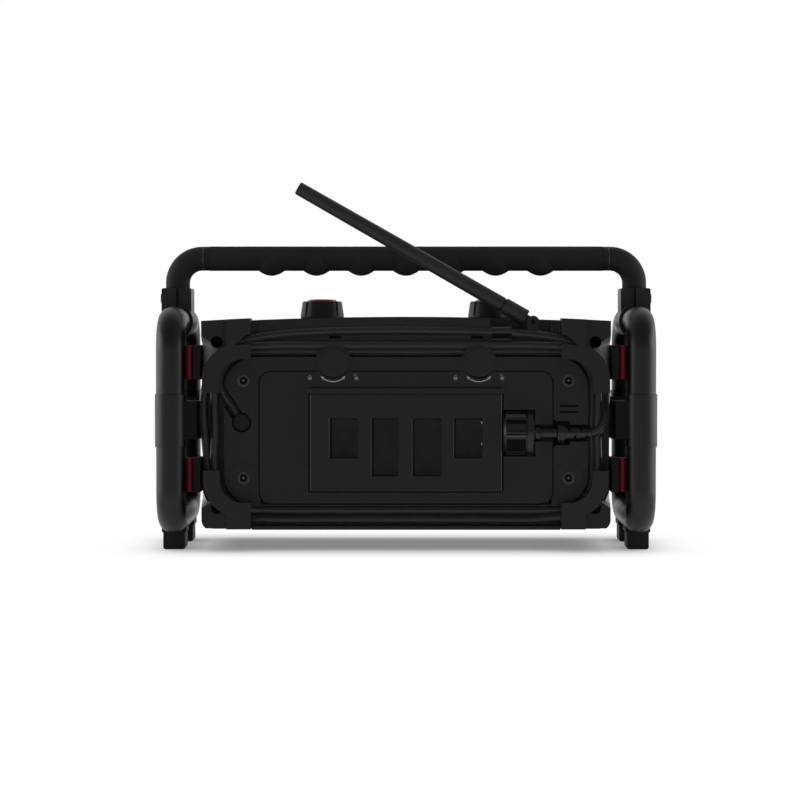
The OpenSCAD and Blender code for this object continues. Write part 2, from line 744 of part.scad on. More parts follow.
module plug_pins() {
    color([0.8, 0.8, 0.78]) for (z = [-9.5, 9.5])
        rod_x(65.6, 84.6, -plug_y + 2.4, plug_z + z, 2.4);
}

// Tapered strain relief with slots cut into it from above and below in turn
module plug_relief() {
    slot_pitch = 5.2;
    color([0.08, 0.08, 0.08]) {
        difference() {
            translate([138, -plug_y, plug_z]) rotate([0, 90, 0]) cylinder(h = 23, r1 = 6.8, r2 = 5);
            for (i = [0 : 3]) translate([141 + slot_pitch * i, -plug_y, plug_z]) mirror([0, 0, i % 2])
                translate([0, -8, 0.8]) cube([2, 16, 8]);
        }
        rod_x(138, 161, -plug_y, plug_z, lead_r);
    }
}

// C-shaped clip on the channel's floor, drawn across the strand that it keeps
module lead_clip() {
    strand_z = 191.2;
    inner_r = lead_r + 0.9;
    color([0.13, 0.13, 0.13]) translate([75, 0, 0]) rotate([90, 0, 90]) linear_extrude(17.4) difference() {
        round_rect(lead_back - inner_r - 2.2, -floor_y, 184.2, 196.6, 2);
        translate([lead_back, strand_z]) circle(inner_r);
        translate([lead_back - inner_r + 1, strand_z]) square([2 * inner_r, 8]);
    }
}

// ---------------------------------------------------------------- antenna

module antenna_base() {
    color([0.14, 0.14, 0.14]) difference() {
        union() {
            translate([antenna_x, antenna_y, 186]) cylinder(h = 8, r = 5.8);
            for (y = [antenna_y - 5.8, antenna_y + 2.8]) {
                rod_y(y, y + 3, antenna_x, antenna_z, 5.6);
                translate([antenna_x - 5, y, 190]) cube([10, 3, antenna_z - 190]);
            }
        }
        rod_y(antenna_y - 8, antenna_y + 8, antenna_x, antenna_z, 1.9);
    }
}

module antenna_pin() {
    color([0.6, 0.6, 0.6]) rod_y(antenna_y - 5.8, antenna_y + 5.8, antenna_x, antenna_z, 1.9);
}

// Turns the antenna's own X axis, which runs out from the elbow, to its lean
module at_antenna() {
    translate([antenna_x, antenna_y, antenna_z]) rotate([0, antenna_lean, 0]) mirror([1, 0, 0]) children();
}

module antenna_sleeve() {
    color([0.15, 0.15, 0.15]) at_antenna() difference() {
        union() {
            rod_y(-2.6, 2.6, 0, 0, 5.2);
            translate([0, -2.6, -3.4]) cube([9, 5.2, 6.8]);
            rod_x(7.4, whip_start, 0, 0, 7.15);
        }
        rod_y(-5, 5, 0, 0, 1.95);
    }
}

// The whip tapers from its collar to a flat tip with a small rounding
module antenna_whip() {
    tip_r = 5.95;
    edge_r = 1.5;
    color([0.16, 0.16, 0.16]) at_antenna() rotate([0, 90, 0]) rotate_extrude() polygon(concat(
        [[0, whip_start], [6, whip_start], [6, whip_start + 1.6], [6.6, whip_start + 2.2]],
        [for (a = [0 : 15 : 90]) [tip_r - edge_r + edge_r * cos(a), antenna_len - edge_r + edge_r * sin(a)]],
        [[0, antenna_len]]));
}

// ---------------------------------------------------------------- knobs

// Knob whose side widens to its foot, with a finger groove at each quarter
module knob(side) {
    foot_r = knob_d / 2;
    top_r = foot_r - 1.9;
    color([0.12, 0.12, 0.12]) translate([side * knob_x, 0, knob_z]) difference() {
        rotate_extrude() polygon([[0, 0], [foot_r, 0], [foot_r - 0.2, 1.4], [top_r, knob_h - 1],
            [top_r - 1, knob_h], [14, knob_h], [cap_r, cap_seat], [0, cap_seat]]);
        for (a = [45 : 90 : 315]) rotate([0, 0, a]) translate([foot_r + 0.9, 0, 1.4])
            rotate([0, -9, 0]) cylinder(h = knob_h + 2, r = 2.2, $fn = 32);
        translate([0, 0, -1]) cylinder(h = 11, r = 3);
    }
}

// Low domed cap let into the knob's top
module knob_cap(side) {
    dome = 2.2;
    color([0.75, 0.06, 0.1]) translate([side * knob_x, 0, knob_z + cap_seat]) rotate_extrude()
        polygon(concat([[0, 0], [cap_r, 0]], [for (t = [1 : -0.2 : 0]) [cap_r * t, 0.9 + dome * (1 - t * t) / 2]]));
}

module knob_shaft(side) {
    color([0.7, 0.7, 0.7]) translate([side * knob_x, 0, 188]) cylinder(h = knob_z + 10 - 188, r = 3);
}

// Rotary encoders under the deck, each with the bush that its shaft runs in
module encoders() {
    color([0.3, 0.32, 0.3]) both_sides() translate([knob_x, 0, 0]) difference() {
        union() {
            translate([-7, -7, 188]) cube([14, 14, 7]);
            cylinder_at(194, 204.2, 5);
        }
        translate([0, 0, 187]) cylinder(h = 20, r = 3.05);
    }
}

module cylinder_at(z0, z1, r) {
    translate([0, 0, z0]) cylinder(h = z1 - z0, r = r);
}

// ---------------------------------------------------------------- loudspeakers

// Grille: a dished ring filled with level bars and three uprights
module grille(side) {
    color([0.1, 0.1, 0.1]) translate([side * speaker_x, 0, speaker_z]) difference() {
        rod_y(front_y + 2, front_y + 4.6, 0, 0, 60);
        for (i = [-8 : 8]) slab(front_y, front_y + 6) intersection() {
            circle(55);
            union() for (x = [-55, -17, 21]) translate([x, i * 6 - 1.7]) square([34, 3.4]);
        }
    }
}

// The loudspeaker's turned pieces are drawn with their depth behind the front face
module at_speaker(side) {
    translate([side * speaker_x, front_y, speaker_z]) rotate([-90, 0, 0]) children();
}

module basket(side) {
    color([0.3, 0.3, 0.3]) at_speaker(side) rotate_extrude()
        polygon([[22, -46], [24, -46], [51, -8], [58, -8], [58, -4], [50, -4], [22, -42]]);
}

module cone(side) {
    color([0.07, 0.07, 0.07]) at_speaker(side) rotate_extrude()
        polygon(concat([[0, -20.4], [0, -21.8], [14, -27.2], [45, -4], [54, -4], [54, -3]],
            [for (a = [0 : 30 : 180]) [47.4 + 2.5 * cos(a), 2.5 * sin(a) - 3]],
            [[44, -3.4], [14, -25.4], [7, -21.2]]));
}

module magnet(side) {
    color([0.45, 0.45, 0.45]) difference() {
        rod_y(front_y - 64, front_y - 46, side * speaker_x, speaker_z, 36);
        rod_y(front_y - 65, front_y - 58, side * speaker_x, speaker_z, 8);
    }
}

// ---------------------------------------------------------------- front console

module button_plan(i, gap = 0) {
    x = (i - 2) * 14;
    round_rect(x - 5.6 - gap, x + 5.6 + gap, 98 - gap, 110 + gap, 2);
}

module button(i) {
    color([0.2, 0.2, 0.2]) union() {
        slab(front_y - 3, front_y + 5) button_plan(i);
        translate([(i - 2) * 14 - 2, front_y - 8, 102]) cube([4, 6, 4]);
    }
}

module display_window() {
    color([0.2, 0.25, 0.28, 0.6]) slab(front_y, front_y + 2.4) round_rect(-36, 36, 128, 176, 4);
}

module display_panel() {
    color([0.35, 0.42, 0.38]) slab(front_y - 9, front_y - 4.2) round_rect(-33, 33, 131, 173, 1);
}

module main_board() {
    color([0.05, 0.3, 0.12]) {
        translate([-42, front_y - 12, 60]) cube([84, 1.6, 120]);
        for (i = [0 : 4]) translate([(i - 2) * 14 - 3, front_y - 10.4, 101]) cube([6, 1.1, 6]);
        translate([-33, front_y - 10.4, 131]) cube([66, 1.4, 42]);
        for (x = [-38, 38], z = [66, 124]) rod_y(front_y - 11, front_y - 4, x, z, 3);
    }
}

module mains_transformer() {
    color([0.35, 0.33, 0.3]) {
        translate([-170, -floor_y + back_wall, 56]) cube([40, 42, 50]);
        translate([-166, -floor_y + back_wall + 42, 62]) cube([32, 8, 38]);
    }
}

module battery_cells() {
    color([0.55, 0.5, 0.3]) for (x = [-117.5, -56, 5.5], z = [81, 115]) {
        rod_x(x, x + 60, -37, z, 16.2);
        rod_x(x + 60, x + 61.4, -37, z, 4.5);
    }
}

module battery_contacts() {
    color([0.75, 0.75, 0.72]) {
        translate([-120.9, -52, 66]) cube([1, 30, 64]);
        for (z = [81, 115]) rod_x(-119.9, -117.5, -37, z, 5);
        translate([67, -52, 66]) cube([1, 30, 64]);
        translate([68, -26, 90]) cube([53, 6, 12]);
    }
}

placed() rear_shell();
placed() front_shell();
placed() top_deck();
placed() corner_guards();
placed() corner_screws();
placed() cover_screws();
placed() hoop(-1);  // left_hoop
placed() hoop(1);  // right_hoop
placed() hoop_sleeves();
placed() side_brackets();
placed() damper_pads();
placed() damper_bosses();
placed() handle_tube();
placed() handle_grip();
placed() handle_sockets();
placed() socket_screws();
placed() feet();
placed() battery_cover();
placed() cover_plate();
placed() cover_seal();
placed() cover_hinge_pins();
placed() latch(-1);  // latch_left
placed() latch(1);  // latch_right
placed() lead_gland();
placed() power_lead();
placed() plug_body();
placed() plug_pins();
placed() plug_relief();
placed() lead_clip();
placed() antenna_base();
placed() antenna_pin();
placed() antenna_sleeve();
placed() antenna_whip();
placed() knob(-1);  // volume_knob
placed() knob_cap(-1);  // volume_cap
placed() knob_shaft(-1);  // volume_shaft
placed() knob(1);  // tuning_knob
placed() knob_cap(1);  // tuning_cap
placed() knob_shaft(1);  // tuning_shaft
placed() encoders();
placed() grille(-1);  // left_grille
placed() grille(1);  // right_grille
placed() basket(-1);  // left_basket
placed() basket(1);  // right_basket
placed() cone(-1);  // left_cone
placed() cone(1);  // right_cone
placed() magnet(-1);  // left_magnet
placed() magnet(1);  // right_magnet
placed() display_window();
placed() display_panel();
placed() main_board();
placed() mains_transformer();
placed() battery_cells();
placed() battery_contacts();
placed() button(0);  // button_1
placed() button(1);  // button_2
placed() button(2);  // button_3
placed() button(3);  // button_4
placed() button(4);  // button_5
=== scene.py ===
import math

import bmesh
import bpy
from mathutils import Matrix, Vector
from mathutils.geometry import interpolate_bezier


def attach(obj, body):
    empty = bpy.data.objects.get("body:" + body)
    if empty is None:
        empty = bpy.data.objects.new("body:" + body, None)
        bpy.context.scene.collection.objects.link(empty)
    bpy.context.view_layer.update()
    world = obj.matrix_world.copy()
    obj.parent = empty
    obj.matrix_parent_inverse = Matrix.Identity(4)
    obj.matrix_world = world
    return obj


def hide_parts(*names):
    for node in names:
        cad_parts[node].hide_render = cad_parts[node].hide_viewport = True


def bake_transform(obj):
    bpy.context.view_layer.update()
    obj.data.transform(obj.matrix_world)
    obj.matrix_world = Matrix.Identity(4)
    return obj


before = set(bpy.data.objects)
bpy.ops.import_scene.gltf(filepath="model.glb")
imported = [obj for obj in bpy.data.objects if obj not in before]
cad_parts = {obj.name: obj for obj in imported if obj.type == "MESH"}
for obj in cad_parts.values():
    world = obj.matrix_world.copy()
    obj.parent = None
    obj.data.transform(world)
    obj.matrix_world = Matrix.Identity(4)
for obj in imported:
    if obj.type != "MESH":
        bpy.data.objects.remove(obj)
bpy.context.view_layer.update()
mm = 0.001
# places below measure Y from the plane of the handle, which stands there in the frame
handleY = -8.5
print("frame loaded")

# ---- camera, floor and light

camera = {"distance": 2325, "height": 193.6, "lens": 116.4, "sensor": 36, "tiltDown": 1.55,
          "turnLeft": 0.133, "farthest": 100}
floor = {"size": 30000, "colour": (0.55, 0.55, 0.55, 1), "shade": 0.22, "reach": 90,
         "from": 0.05, "to": 0.88, "samples": 12}
world = {"front": 0.3, "back": 1.0, "turnsAt": (0.0, 0.6), "seen": 1.0}
lamps = {
    "left": {"at": (-1600, 60, 330), "size": (1500, 900), "power": 12},
    "right": {"at": (1600, 60, 330), "size": (1500, 900), "power": 12},
}
lampAim = (0, 130)  # Y from the handle, and Z


def makeCamera():
    data = bpy.data.cameras.new("camera")
    data.lens = camera["lens"]
    data.sensor_width = camera["sensor"]
    data.clip_end = camera["farthest"]
    eye = bpy.data.objects.new("camera", data)
    eye.location = (0, (handleY - camera["distance"]) * mm, camera["height"] * mm)
    eye.rotation_euler = (math.radians(90 - camera["tiltDown"]), 0,
                          math.radians(camera["turnLeft"]))
    bpy.context.collection.objects.link(eye)
    bpy.context.scene.camera = eye


def newMaterial(name):
    material = bpy.data.materials.new(name)
    material.use_nodes = True
    material.node_tree.nodes.clear()
    return material, material.node_tree


def addNode(tree, kind, inputs=None, **settings):
    node = tree.nodes.new(kind)
    for key, value in settings.items():
        setattr(node, key, value)
    for key, value in (inputs or {}).items():
        node.inputs[key].default_value = value
    return node


def link(tree, *pairs):  # each pair is an output and the input that it feeds
    for output, entry in pairs:
        tree.links.new(output, entry)


# 1 for the rays of those kinds, and 0 for light on its way to other things
def seenByEye(tree, *rays):
    path = addNode(tree, "ShaderNodeLightPath")
    seen = path.outputs[rays[0]]
    for ray in rays[1:]:
        either = addNode(tree, "ShaderNodeMath", operation="MAXIMUM")
        link(tree, (seen, either.inputs[0]), (path.outputs[ray], either.inputs[1]))
        seen = either.outputs[0]
    return seen


def makeFloor():  # white to the eye, shaded where the object stands close over it
    material, tree = newMaterial("floor")
    out = addNode(tree, "ShaderNodeOutputMaterial")
    matt = addNode(tree, "ShaderNodeBsdfDiffuse", {"Color": floor["colour"]})
    white = addNode(tree, "ShaderNodeEmission", {"Color": (1, 1, 1, 1)})
    mix = addNode(tree, "ShaderNodeMixShader")
    gap = addNode(tree, "ShaderNodeAmbientOcclusion", {"Distance": floor["reach"] * mm},
                  samples=floor["samples"])
    shade = addNode(tree, "ShaderNodeMapRange", {"From Min": floor["from"], "From Max": floor["to"],
                                                 "To Min": floor["shade"], "To Max": 1.0})
    seen = seenByEye(tree, "Is Camera Ray", "Is Glossy Ray", "Is Transmission Ray")
    link(tree, (gap.outputs["AO"], shade.inputs["Value"]),
         (shade.outputs["Result"], white.inputs["Strength"]), (seen, mix.inputs["Fac"]),
         (matt.outputs[0], mix.inputs[1]), (white.outputs[0], mix.inputs[2]),
         (mix.outputs[0], out.inputs["Surface"]))
    half = floor["size"] / 2 * mm
    mesh = bpy.data.meshes.new("floor")
    mesh.from_pydata([(-half, -half, 0), (half, -half, 0), (half, half, 0), (-half, half, 0)], [],
                     [(0, 1, 2, 3)])
    mesh.materials.append(material)
    plane = bpy.data.objects.new("floor", mesh)
    bpy.context.collection.objects.link(plane)


def makeWorld():
    sky = bpy.data.worlds.new("studio")
    sky.use_nodes = True
    tree = sky.node_tree
    tree.nodes.clear()
    out = addNode(tree, "ShaderNodeOutputWorld")
    white = addNode(tree, "ShaderNodeBackground",
                    {"Color": (1, 1, 1, 1), "Strength": world["seen"]})
    lit = addNode(tree, "ShaderNodeBackground", {"Color": (1, 1, 1, 1)})
    mix = addNode(tree, "ShaderNodeMixShader")
    where = addNode(tree, "ShaderNodeTexCoord")
    split = addNode(tree, "ShaderNodeSeparateXYZ")
    low, high = world["turnsAt"]
    ramp = addNode(tree, "ShaderNodeMapRange", {"From Min": low, "From Max": high,
                                                "To Min": world["front"], "To Max": world["back"]},
                   interpolation_type="SMOOTHSTEP")
    seen = seenByEye(tree, "Is Camera Ray", "Is Transmission Ray")
    link(tree, (where.outputs["Generated"], split.inputs[0]),
         (split.outputs["Y"], ramp.inputs["Value"]),
         (ramp.outputs["Result"], lit.inputs["Strength"]), (seen, mix.inputs["Fac"]),
         (lit.outputs[0], mix.inputs[1]), (white.outputs[0], mix.inputs[2]),
         (mix.outputs[0], out.inputs["Surface"]))
    bpy.context.scene.world = sky


def makeLamps():
    aim = Vector((0, handleY + lampAim[0], lampAim[1])) * mm
    for name, lamp in lamps.items():
        data = bpy.data.lights.new(name, "AREA")
        data.shape = "RECTANGLE"
        data.size, data.size_y = (side * mm for side in lamp["size"])
        data.energy = lamp["power"]
        light = bpy.data.objects.new(name, data)
        light.location = (Vector(lamp["at"]) + Vector((0, handleY, 0))) * mm
        light.rotation_euler = (aim - light.location).to_track_quat("-Z", "Y").to_euler()
        bpy.context.collection.objects.link(light)


makeCamera()
makeFloor()
makeWorld()
makeLamps()
bpy.context.scene.view_settings.view_transform = "Standard"
print("camera, floor and light ready")

# ---- finishes


def plastic(colour, rough, shine, grain, bump, **more):  # the grain's cells are in millimetres
    return dict(colour=colour, rough=rough, shine=shine, grain=grain, bump=bump, **more)


finishes = {
    # lift: a paler colour painted into hollows by ambient occlusion, as painted light
    "mouldedHousing": plastic((0.0078, 0.0072, 0.0075), 0.5, 0.28, 0.35, 0.25, lift=0.08),
    # the guards and the handle's sockets: a grey highlight painted on their rounded edges
    "satinGuard": plastic((0.0075, 0.007, 0.0073), 0.42, 0.28, 0.35, 0.2, postGlow=0.7),
    "powderCoat": plastic((0.0026, 0.0026, 0.0026), 0.38, 0.33, 0.6, 0.3),
    "handleCoat": plastic((0.026, 0.026, 0.026), 0.6, 0.1, 0.6, 0.2),
    "gripFoam": plastic((0.031, 0.031, 0.031), 0.8, 0.06, 0.5, 0.3),
    # a darker copy of the housing's plastic: painted shade on the bosses and brackets
    "bossPlasticPaintedShade": plastic((0.004, 0.004, 0.004), 0.5, 0.12, 0.35, 0.2),
    "mattRubber": plastic((0.009, 0.009, 0.009), 0.6, 0.2, 0.3, 0.35),
    "redRubber": plastic((0.15, 0.0045, 0.012), 0.5, 0.25, 0.5, 0.2),
    "redCap": plastic((0.25, 0.006, 0.012), 0.22, 0.5, 0.8, 0.05),
    # the lead's lift is painted light in its hollows as well
    "leadSkin": plastic((0.02, 0.019, 0.0195), 0.38, 0.34, 1.2, 0.1, lift=0.13),
    "plugSkin": plastic((0.0085, 0.0082, 0.0082), 0.3, 0.36, 0.9, 0.05),
    "antennaSkin": plastic((0.017, 0.017, 0.0175), 0.55, 0.35, 0.4, 0.25),
    "knobSkin": plastic((0.0115, 0.011, 0.0113), 0.34, 0.2, 0.6, 0.05),
    "keySkin": plastic((0.045, 0.045, 0.047), 0.6, 0.3, 0.3, 0.2),
    "coneSkin": plastic((0.016, 0.016, 0.017), 0.75, 0.2, 1.5, 0.6),
    "boardSkin": plastic((0.012, 0.1, 0.035), 0.4, 0.4, 1.0, 0.1),
    "displaySkin": plastic((0.3, 0.37, 0.3), 0.3, 0.4, 0.4, 0.05),
    "cellSkin": plastic((0.32, 0.27, 0.1), 0.35, 0.45, 1.0, 0.05),
    "coreSkin": plastic((0.1, 0.09, 0.085), 0.6, 0.3, 1.2, 0.4),
    "screwCollar": plastic((0.035, 0.035, 0.035), 0.4, 0.4, 0.5, 0.05),
    "blackScrew": plastic((0.0025, 0.0025, 0.0025), 0.55, 0.07, 0.5, 0.05),
    "seamShade": plastic((0.0035, 0.0034, 0.0034), 0.6, 0.06, 0.5, 0.05),
    "softShade": plastic((0.0075, 0.0072, 0.0072), 0.55, 0.2, 0.5, 0.05),
    "readoutInk": plastic((0.01, 0.012, 0.011), 0.6, 0.05, 0.5, 0.05),
    # a pale finish: painted highlight on beads, rings and strips, and pale trim on the speakers'
    # rims
    "paleTrimAndPaintedHighlight": plastic((0.05, 0.049, 0.049), 0.3, 0.4, 0.5, 0.03),
    "whitePrint": plastic((0.72, 0.72, 0.72), 0.6, 0.2, 0.5, 0.05),
    "greyPrint": plastic((0.3, 0.3, 0.3), 0.6, 0.2, 0.5, 0.05),
}
metals = {
    "platedSteel": {"colour": (0.5, 0.5, 0.5), "rough": 0.3, "brush": 1.5},
    "darkSteel": {"colour": (0.09, 0.088, 0.086), "rough": 0.36, "brush": 1.5},
}
windowGlass = {"ior": 1.49, "colour": (0.8, 0.83, 0.82), "patch": 20, "tone": 0.04,
               "rough": (0.04, 0.08)}
plasticWear = {"patch": 28, "tone": 0.08, "rough": (-0.03, 0.04), "bumpDepth": 0.08}
metalWear = {"detail": 6, "tone": 0.12, "rough": (-0.08, 0.1)}
noiseRange, toneStops = (0.3, 0.7), (0.35, 0.65)
paintedHollowLight = {"reach": 12, "samples": 6, "open": 0.75, "deep": 0.2}
# the normals of the rounded edges where the guards' grey highlight is painted
paintedHighlightNormal = {"side": (0.1, 0.7), "back": (0, -0.2)}  # parts of the normal
madeMaterials = {}


def surfaceNoise(tree, size, detail=3):  # noise whose cells are about that many millimetres across
    where = addNode(tree, "ShaderNodeTexCoord")
    noise = addNode(tree, "ShaderNodeTexNoise", {"Scale": 1 / (size * mm), "Detail": detail})
    tree.links.new(where.outputs["Object"], noise.inputs["Vector"])
    return noise


def spread(tree, source, low, high):
    ramp = addNode(tree, "ShaderNodeMapRange",
                   {"From Min": noiseRange[0], "From Max": noiseRange[1],
                    "To Min": low, "To Max": high})
    tree.links.new(source, ramp.inputs["Value"])
    return ramp.outputs["Result"]


def tones(tree, source, colour, amount):  # the colour a little darker and lighter
    ramp = addNode(tree, "ShaderNodeValToRGB")
    for stop, place, factor in zip(ramp.color_ramp.elements, toneStops, (1 - amount, 1 + amount)):
        stop.position = place
        stop.color = [channel * factor for channel in colour] + [1]
    tree.links.new(source, ramp.inputs["Fac"])
    return ramp.outputs["Color"]


def mapped(tree, source, low, high):  # 0 at low, 1 at high
    ramp = addNode(tree, "ShaderNodeMapRange", {"From Min": low, "From Max": high})
    tree.links.new(source, ramp.inputs["Value"])
    return ramp.outputs["Result"]


def blendColour(tree, factor, colour, grey):
    mix = addNode(tree, "ShaderNodeMix", data_type="RGBA")
    mix.inputs["B"].default_value = (grey, grey, grey, 1)
    link(tree, (factor, mix.inputs["Factor"]), (colour, mix.inputs["A"]))
    return mix.outputs["Result"]


def paintedHollowLightMask(tree):  # 1 deep between the strands, where a paler colour is painted in as painted light
    gap = addNode(tree, "ShaderNodeAmbientOcclusion", {"Distance": paintedHollowLight["reach"] * mm},
                  samples=paintedHollowLight["samples"])
    return mapped(tree, gap.outputs["AO"], paintedHollowLight["open"], paintedHollowLight["deep"])


# 1 on the rounded edge of a guard, between back and side, where a grey highlight is painted into
# the colour
def paintedHighlightMask(tree):
    shape = addNode(tree, "ShaderNodeNewGeometry")
    split = addNode(tree, "ShaderNodeSeparateXYZ")
    side = addNode(tree, "ShaderNodeMath", operation="ABSOLUTE")
    both = addNode(tree, "ShaderNodeMath", operation="MULTIPLY")
    link(tree, (shape.outputs["Normal"], split.inputs[0]), (split.outputs["X"], side.inputs[0]),
         (mapped(tree, side.outputs[0], *paintedHighlightNormal["side"]), both.inputs[0]),
         (mapped(tree, split.outputs["Y"], *paintedHighlightNormal["back"]), both.inputs[1]))
    return both.outputs[0]


def makePlastic(name):
    spec = finishes[name]
    material, tree = newMaterial(name)
    out = addNode(tree, "ShaderNodeOutputMaterial")
    skin = addNode(tree, "ShaderNodeBsdfPrincipled", {"Specular IOR Level": spec["shine"]})
    patches = surfaceNoise(tree, plasticWear["patch"])
    grain = surfaceNoise(tree, spec["grain"])
    bump = addNode(tree, "ShaderNodeBump",
                   {"Strength": spec["bump"], "Distance": plasticWear["bumpDepth"] * mm})
    colour = tones(tree, patches.outputs[0], spec["colour"], plasticWear["tone"])
    # painted light: a paler colour in hollows
    if "lift" in spec:
        colour = blendColour(tree, paintedHollowLightMask(tree), colour, spec["lift"])
    # a grey highlight painted on rounded edges that face between back and side
    if "postGlow" in spec:
        colour = blendColour(tree, paintedHighlightMask(tree), colour, spec["postGlow"])
    low, high = (spec["rough"] + step for step in plasticWear["rough"])
    link(tree, (colour, skin.inputs["Base Color"]),
         (spread(tree, patches.outputs[0], low, high), skin.inputs["Roughness"]),
         (grain.outputs[0], bump.inputs["Height"]), (bump.outputs[0], skin.inputs["Normal"]),
         (skin.outputs[0], out.inputs["Surface"]))
    return material


def makeMetal(name):
    spec = metals[name]
    material, tree = newMaterial(name)
    out = addNode(tree, "ShaderNodeOutputMaterial")
    skin = addNode(tree, "ShaderNodeBsdfPrincipled", {"Metallic": 1.0})
    brushed = surfaceNoise(tree, spec["brush"], metalWear["detail"])
    low, high = (spec["rough"] + step for step in metalWear["rough"])
    colour = tones(tree, brushed.outputs[0], spec["colour"], metalWear["tone"])
    link(tree, (colour, skin.inputs["Base Color"]),
         (spread(tree, brushed.outputs[0], low, high), skin.inputs["Roughness"]),
         (skin.outputs[0], out.inputs["Surface"]))
    return material


def makeWindowGlass():
    material, tree = newMaterial("smokedWindow")
    out = addNode(tree, "ShaderNodeOutputMaterial")
    spec = windowGlass
    skin = addNode(tree, "ShaderNodeBsdfPrincipled",
                   {"IOR": spec["ior"], "Transmission Weight": 1.0})
    patches = surfaceNoise(tree, spec["patch"])
    colour = tones(tree, patches.outputs[0], spec["colour"], spec["tone"])
    link(tree, (colour, skin.inputs["Base Color"]),
         (spread(tree, patches.outputs[0], *spec["rough"]), skin.inputs["Roughness"]),
         (skin.outputs[0], out.inputs["Surface"]))
    return material


def finish(name):
    if name not in madeMaterials:
        if name in finishes:
            madeMaterials[name] = makePlastic(name)
        elif name in metals:
            madeMaterials[name] = makeMetal(name)
        else:
            madeMaterials[name] = makeWindowGlass()
    return madeMaterials[name]


# ---- the frame's own pieces: finish, and the radius of their edges in millimetres

kept = {
    "rear_shell": ("mouldedHousing", 0.8), "front_shell": ("mouldedHousing", 0.8),
    "top_deck": ("mouldedHousing", 0.3), "corner_guards": ("satinGuard", 0.5),
    "corner_screws": ("blackScrew", 0.25), "cover_screws": ("blackScrew", 0.25),
    "left_hoop": ("powderCoat", 0), "right_hoop": ("powderCoat", 0),
    "hoop_sleeves": ("powderCoat", 0.5), "side_brackets": ("bossPlasticPaintedShade", 1.0),
    "damper_pads": ("redRubber", 0.8), "damper_bosses": ("bossPlasticPaintedShade", 0.6),
    "handle_tube": ("handleCoat", 0), "handle_sockets": ("satinGuard", 0.8),
    "socket_screws": ("darkSteel", 0.3), "feet": ("mattRubber", 0.8),
    "battery_cover": ("mouldedHousing", 0.35), "cover_plate": ("mouldedHousing", 0.35),
    "cover_seal": ("mattRubber", 0), "cover_hinge_pins": ("blackScrew", 0),
    "latch_left": ("mouldedHousing", 0.4), "latch_right": ("mouldedHousing", 0.4),
    "lead_gland": ("mattRubber", 0.6), "plug_pins": ("platedSteel", 0.6),
    "plug_body": ("plugSkin", 0.5), "plug_relief": ("plugSkin", 0.3),
    "handle_grip": ("gripFoam", 0), "lead_clip": ("mouldedHousing", 0.4),
    "antenna_base": ("mouldedHousing", 0.5), "antenna_pin": ("blackScrew", 0.2),
    "antenna_sleeve": ("antennaSkin", 0.5), "antenna_whip": ("antennaSkin", 0),
    "volume_knob": ("knobSkin", 0.4), "volume_cap": ("redCap", 0.3),
    "volume_shaft": ("platedSteel", 0.2), "tuning_knob": ("knobSkin", 0.4),
    "tuning_cap": ("redCap", 0.3), "tuning_shaft": ("platedSteel", 0.2),
    "encoders": ("platedSteel", 0.2), "left_grille": ("powderCoat", 0.3),
    "right_grille": ("powderCoat", 0.3), "left_basket": ("powderCoat", 0.3),
    "right_basket": ("powderCoat", 0.3), "left_cone": ("coneSkin", 0),
    "right_cone": ("coneSkin", 0), "left_magnet": ("coreSkin", 0.5),
    "right_magnet": ("coreSkin", 0.5), "display_window": ("smokedWindow", 0.4),
    "display_panel": ("displaySkin", 0.2), "main_board": ("boardSkin", 0),
    "mains_transformer": ("coreSkin", 0.6), "battery_cells": ("cellSkin", 0.6),
    "battery_contacts": ("platedSteel", 0.2), "button_1": ("keySkin", 0.6),
    "button_2": ("keySkin", 0.6), "button_3": ("keySkin", 0.6), "button_4": ("keySkin", 0.6),
    "button_5": ("keySkin", 0.6),
}
rounding = {"weld": 0.002, "flat": 0.5, "steps": 2, "corner": 38, "weight": 80}


def roundEdges(piece, radius):
    weld = piece.modifiers.new("weld", "WELD")
    weld.merge_threshold = rounding["weld"] * mm
    if radius > 0:
        flats = piece.modifiers.new("flats", "DECIMATE")
        flats.decimate_type = "DISSOLVE"
        flats.angle_limit = math.radians(rounding["flat"])
        bevel = piece.modifiers.new("edges", "BEVEL")
        bevel.width = radius * mm
        bevel.segments = rounding["steps"]
        bevel.limit_method = "ANGLE"
        bevel.angle_limit = math.radians(rounding["corner"])
        bevel.harden_normals = False
    shade = piece.modifiers.new("shade", "WEIGHTED_NORMAL")
    shade.keep_sharp = False
    shade.weight = rounding["weight"]


def dressKeptNodes():
    for name, (look, radius) in kept.items():
        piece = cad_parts[name]
        piece.data.materials.clear()
        piece.data.materials.append(finish(look))
        roundEdges(piece, radius)


dressKeptNodes()
print("kept pieces dressed")

# ---- making a piece of one's own

sharpFrom = 35  # degrees between two faces


def makePiece(name, shape, body, look):
    bmesh.ops.scale(shape, vec=(mm, mm, mm), verts=shape.verts)
    bmesh.ops.recalc_face_normals(shape, faces=shape.faces)
    mesh = bpy.data.meshes.new(name)
    shape.to_mesh(mesh)
    shape.free()
    mesh.materials.append(finish(look))
    mesh.shade_smooth()
    mesh.set_sharp_from_angle(angle=math.radians(sharpFrom))
    piece = bpy.data.objects.new(name, mesh)
    bpy.context.collection.objects.link(piece)
    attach(piece, body)


def fullTurn(steps):
    return [2 * math.pi * i / steps for i in range(steps)]


def skinRings(shape, rings, closed=True):  # joins rings of as many points into one skin
    loops = [[shape.verts.new(point) for point in ring] for ring in rings]
    count = len(loops[0])
    for near, far in zip(loops, loops[1:]):
        for i in range(count):
            j = (i + 1) % count
            shape.faces.new((near[i], near[j], far[j], far[i]))
    if closed:
        shape.faces.new(reversed(loops[0]))
        shape.faces.new(loops[-1])


# ---- the mains lead

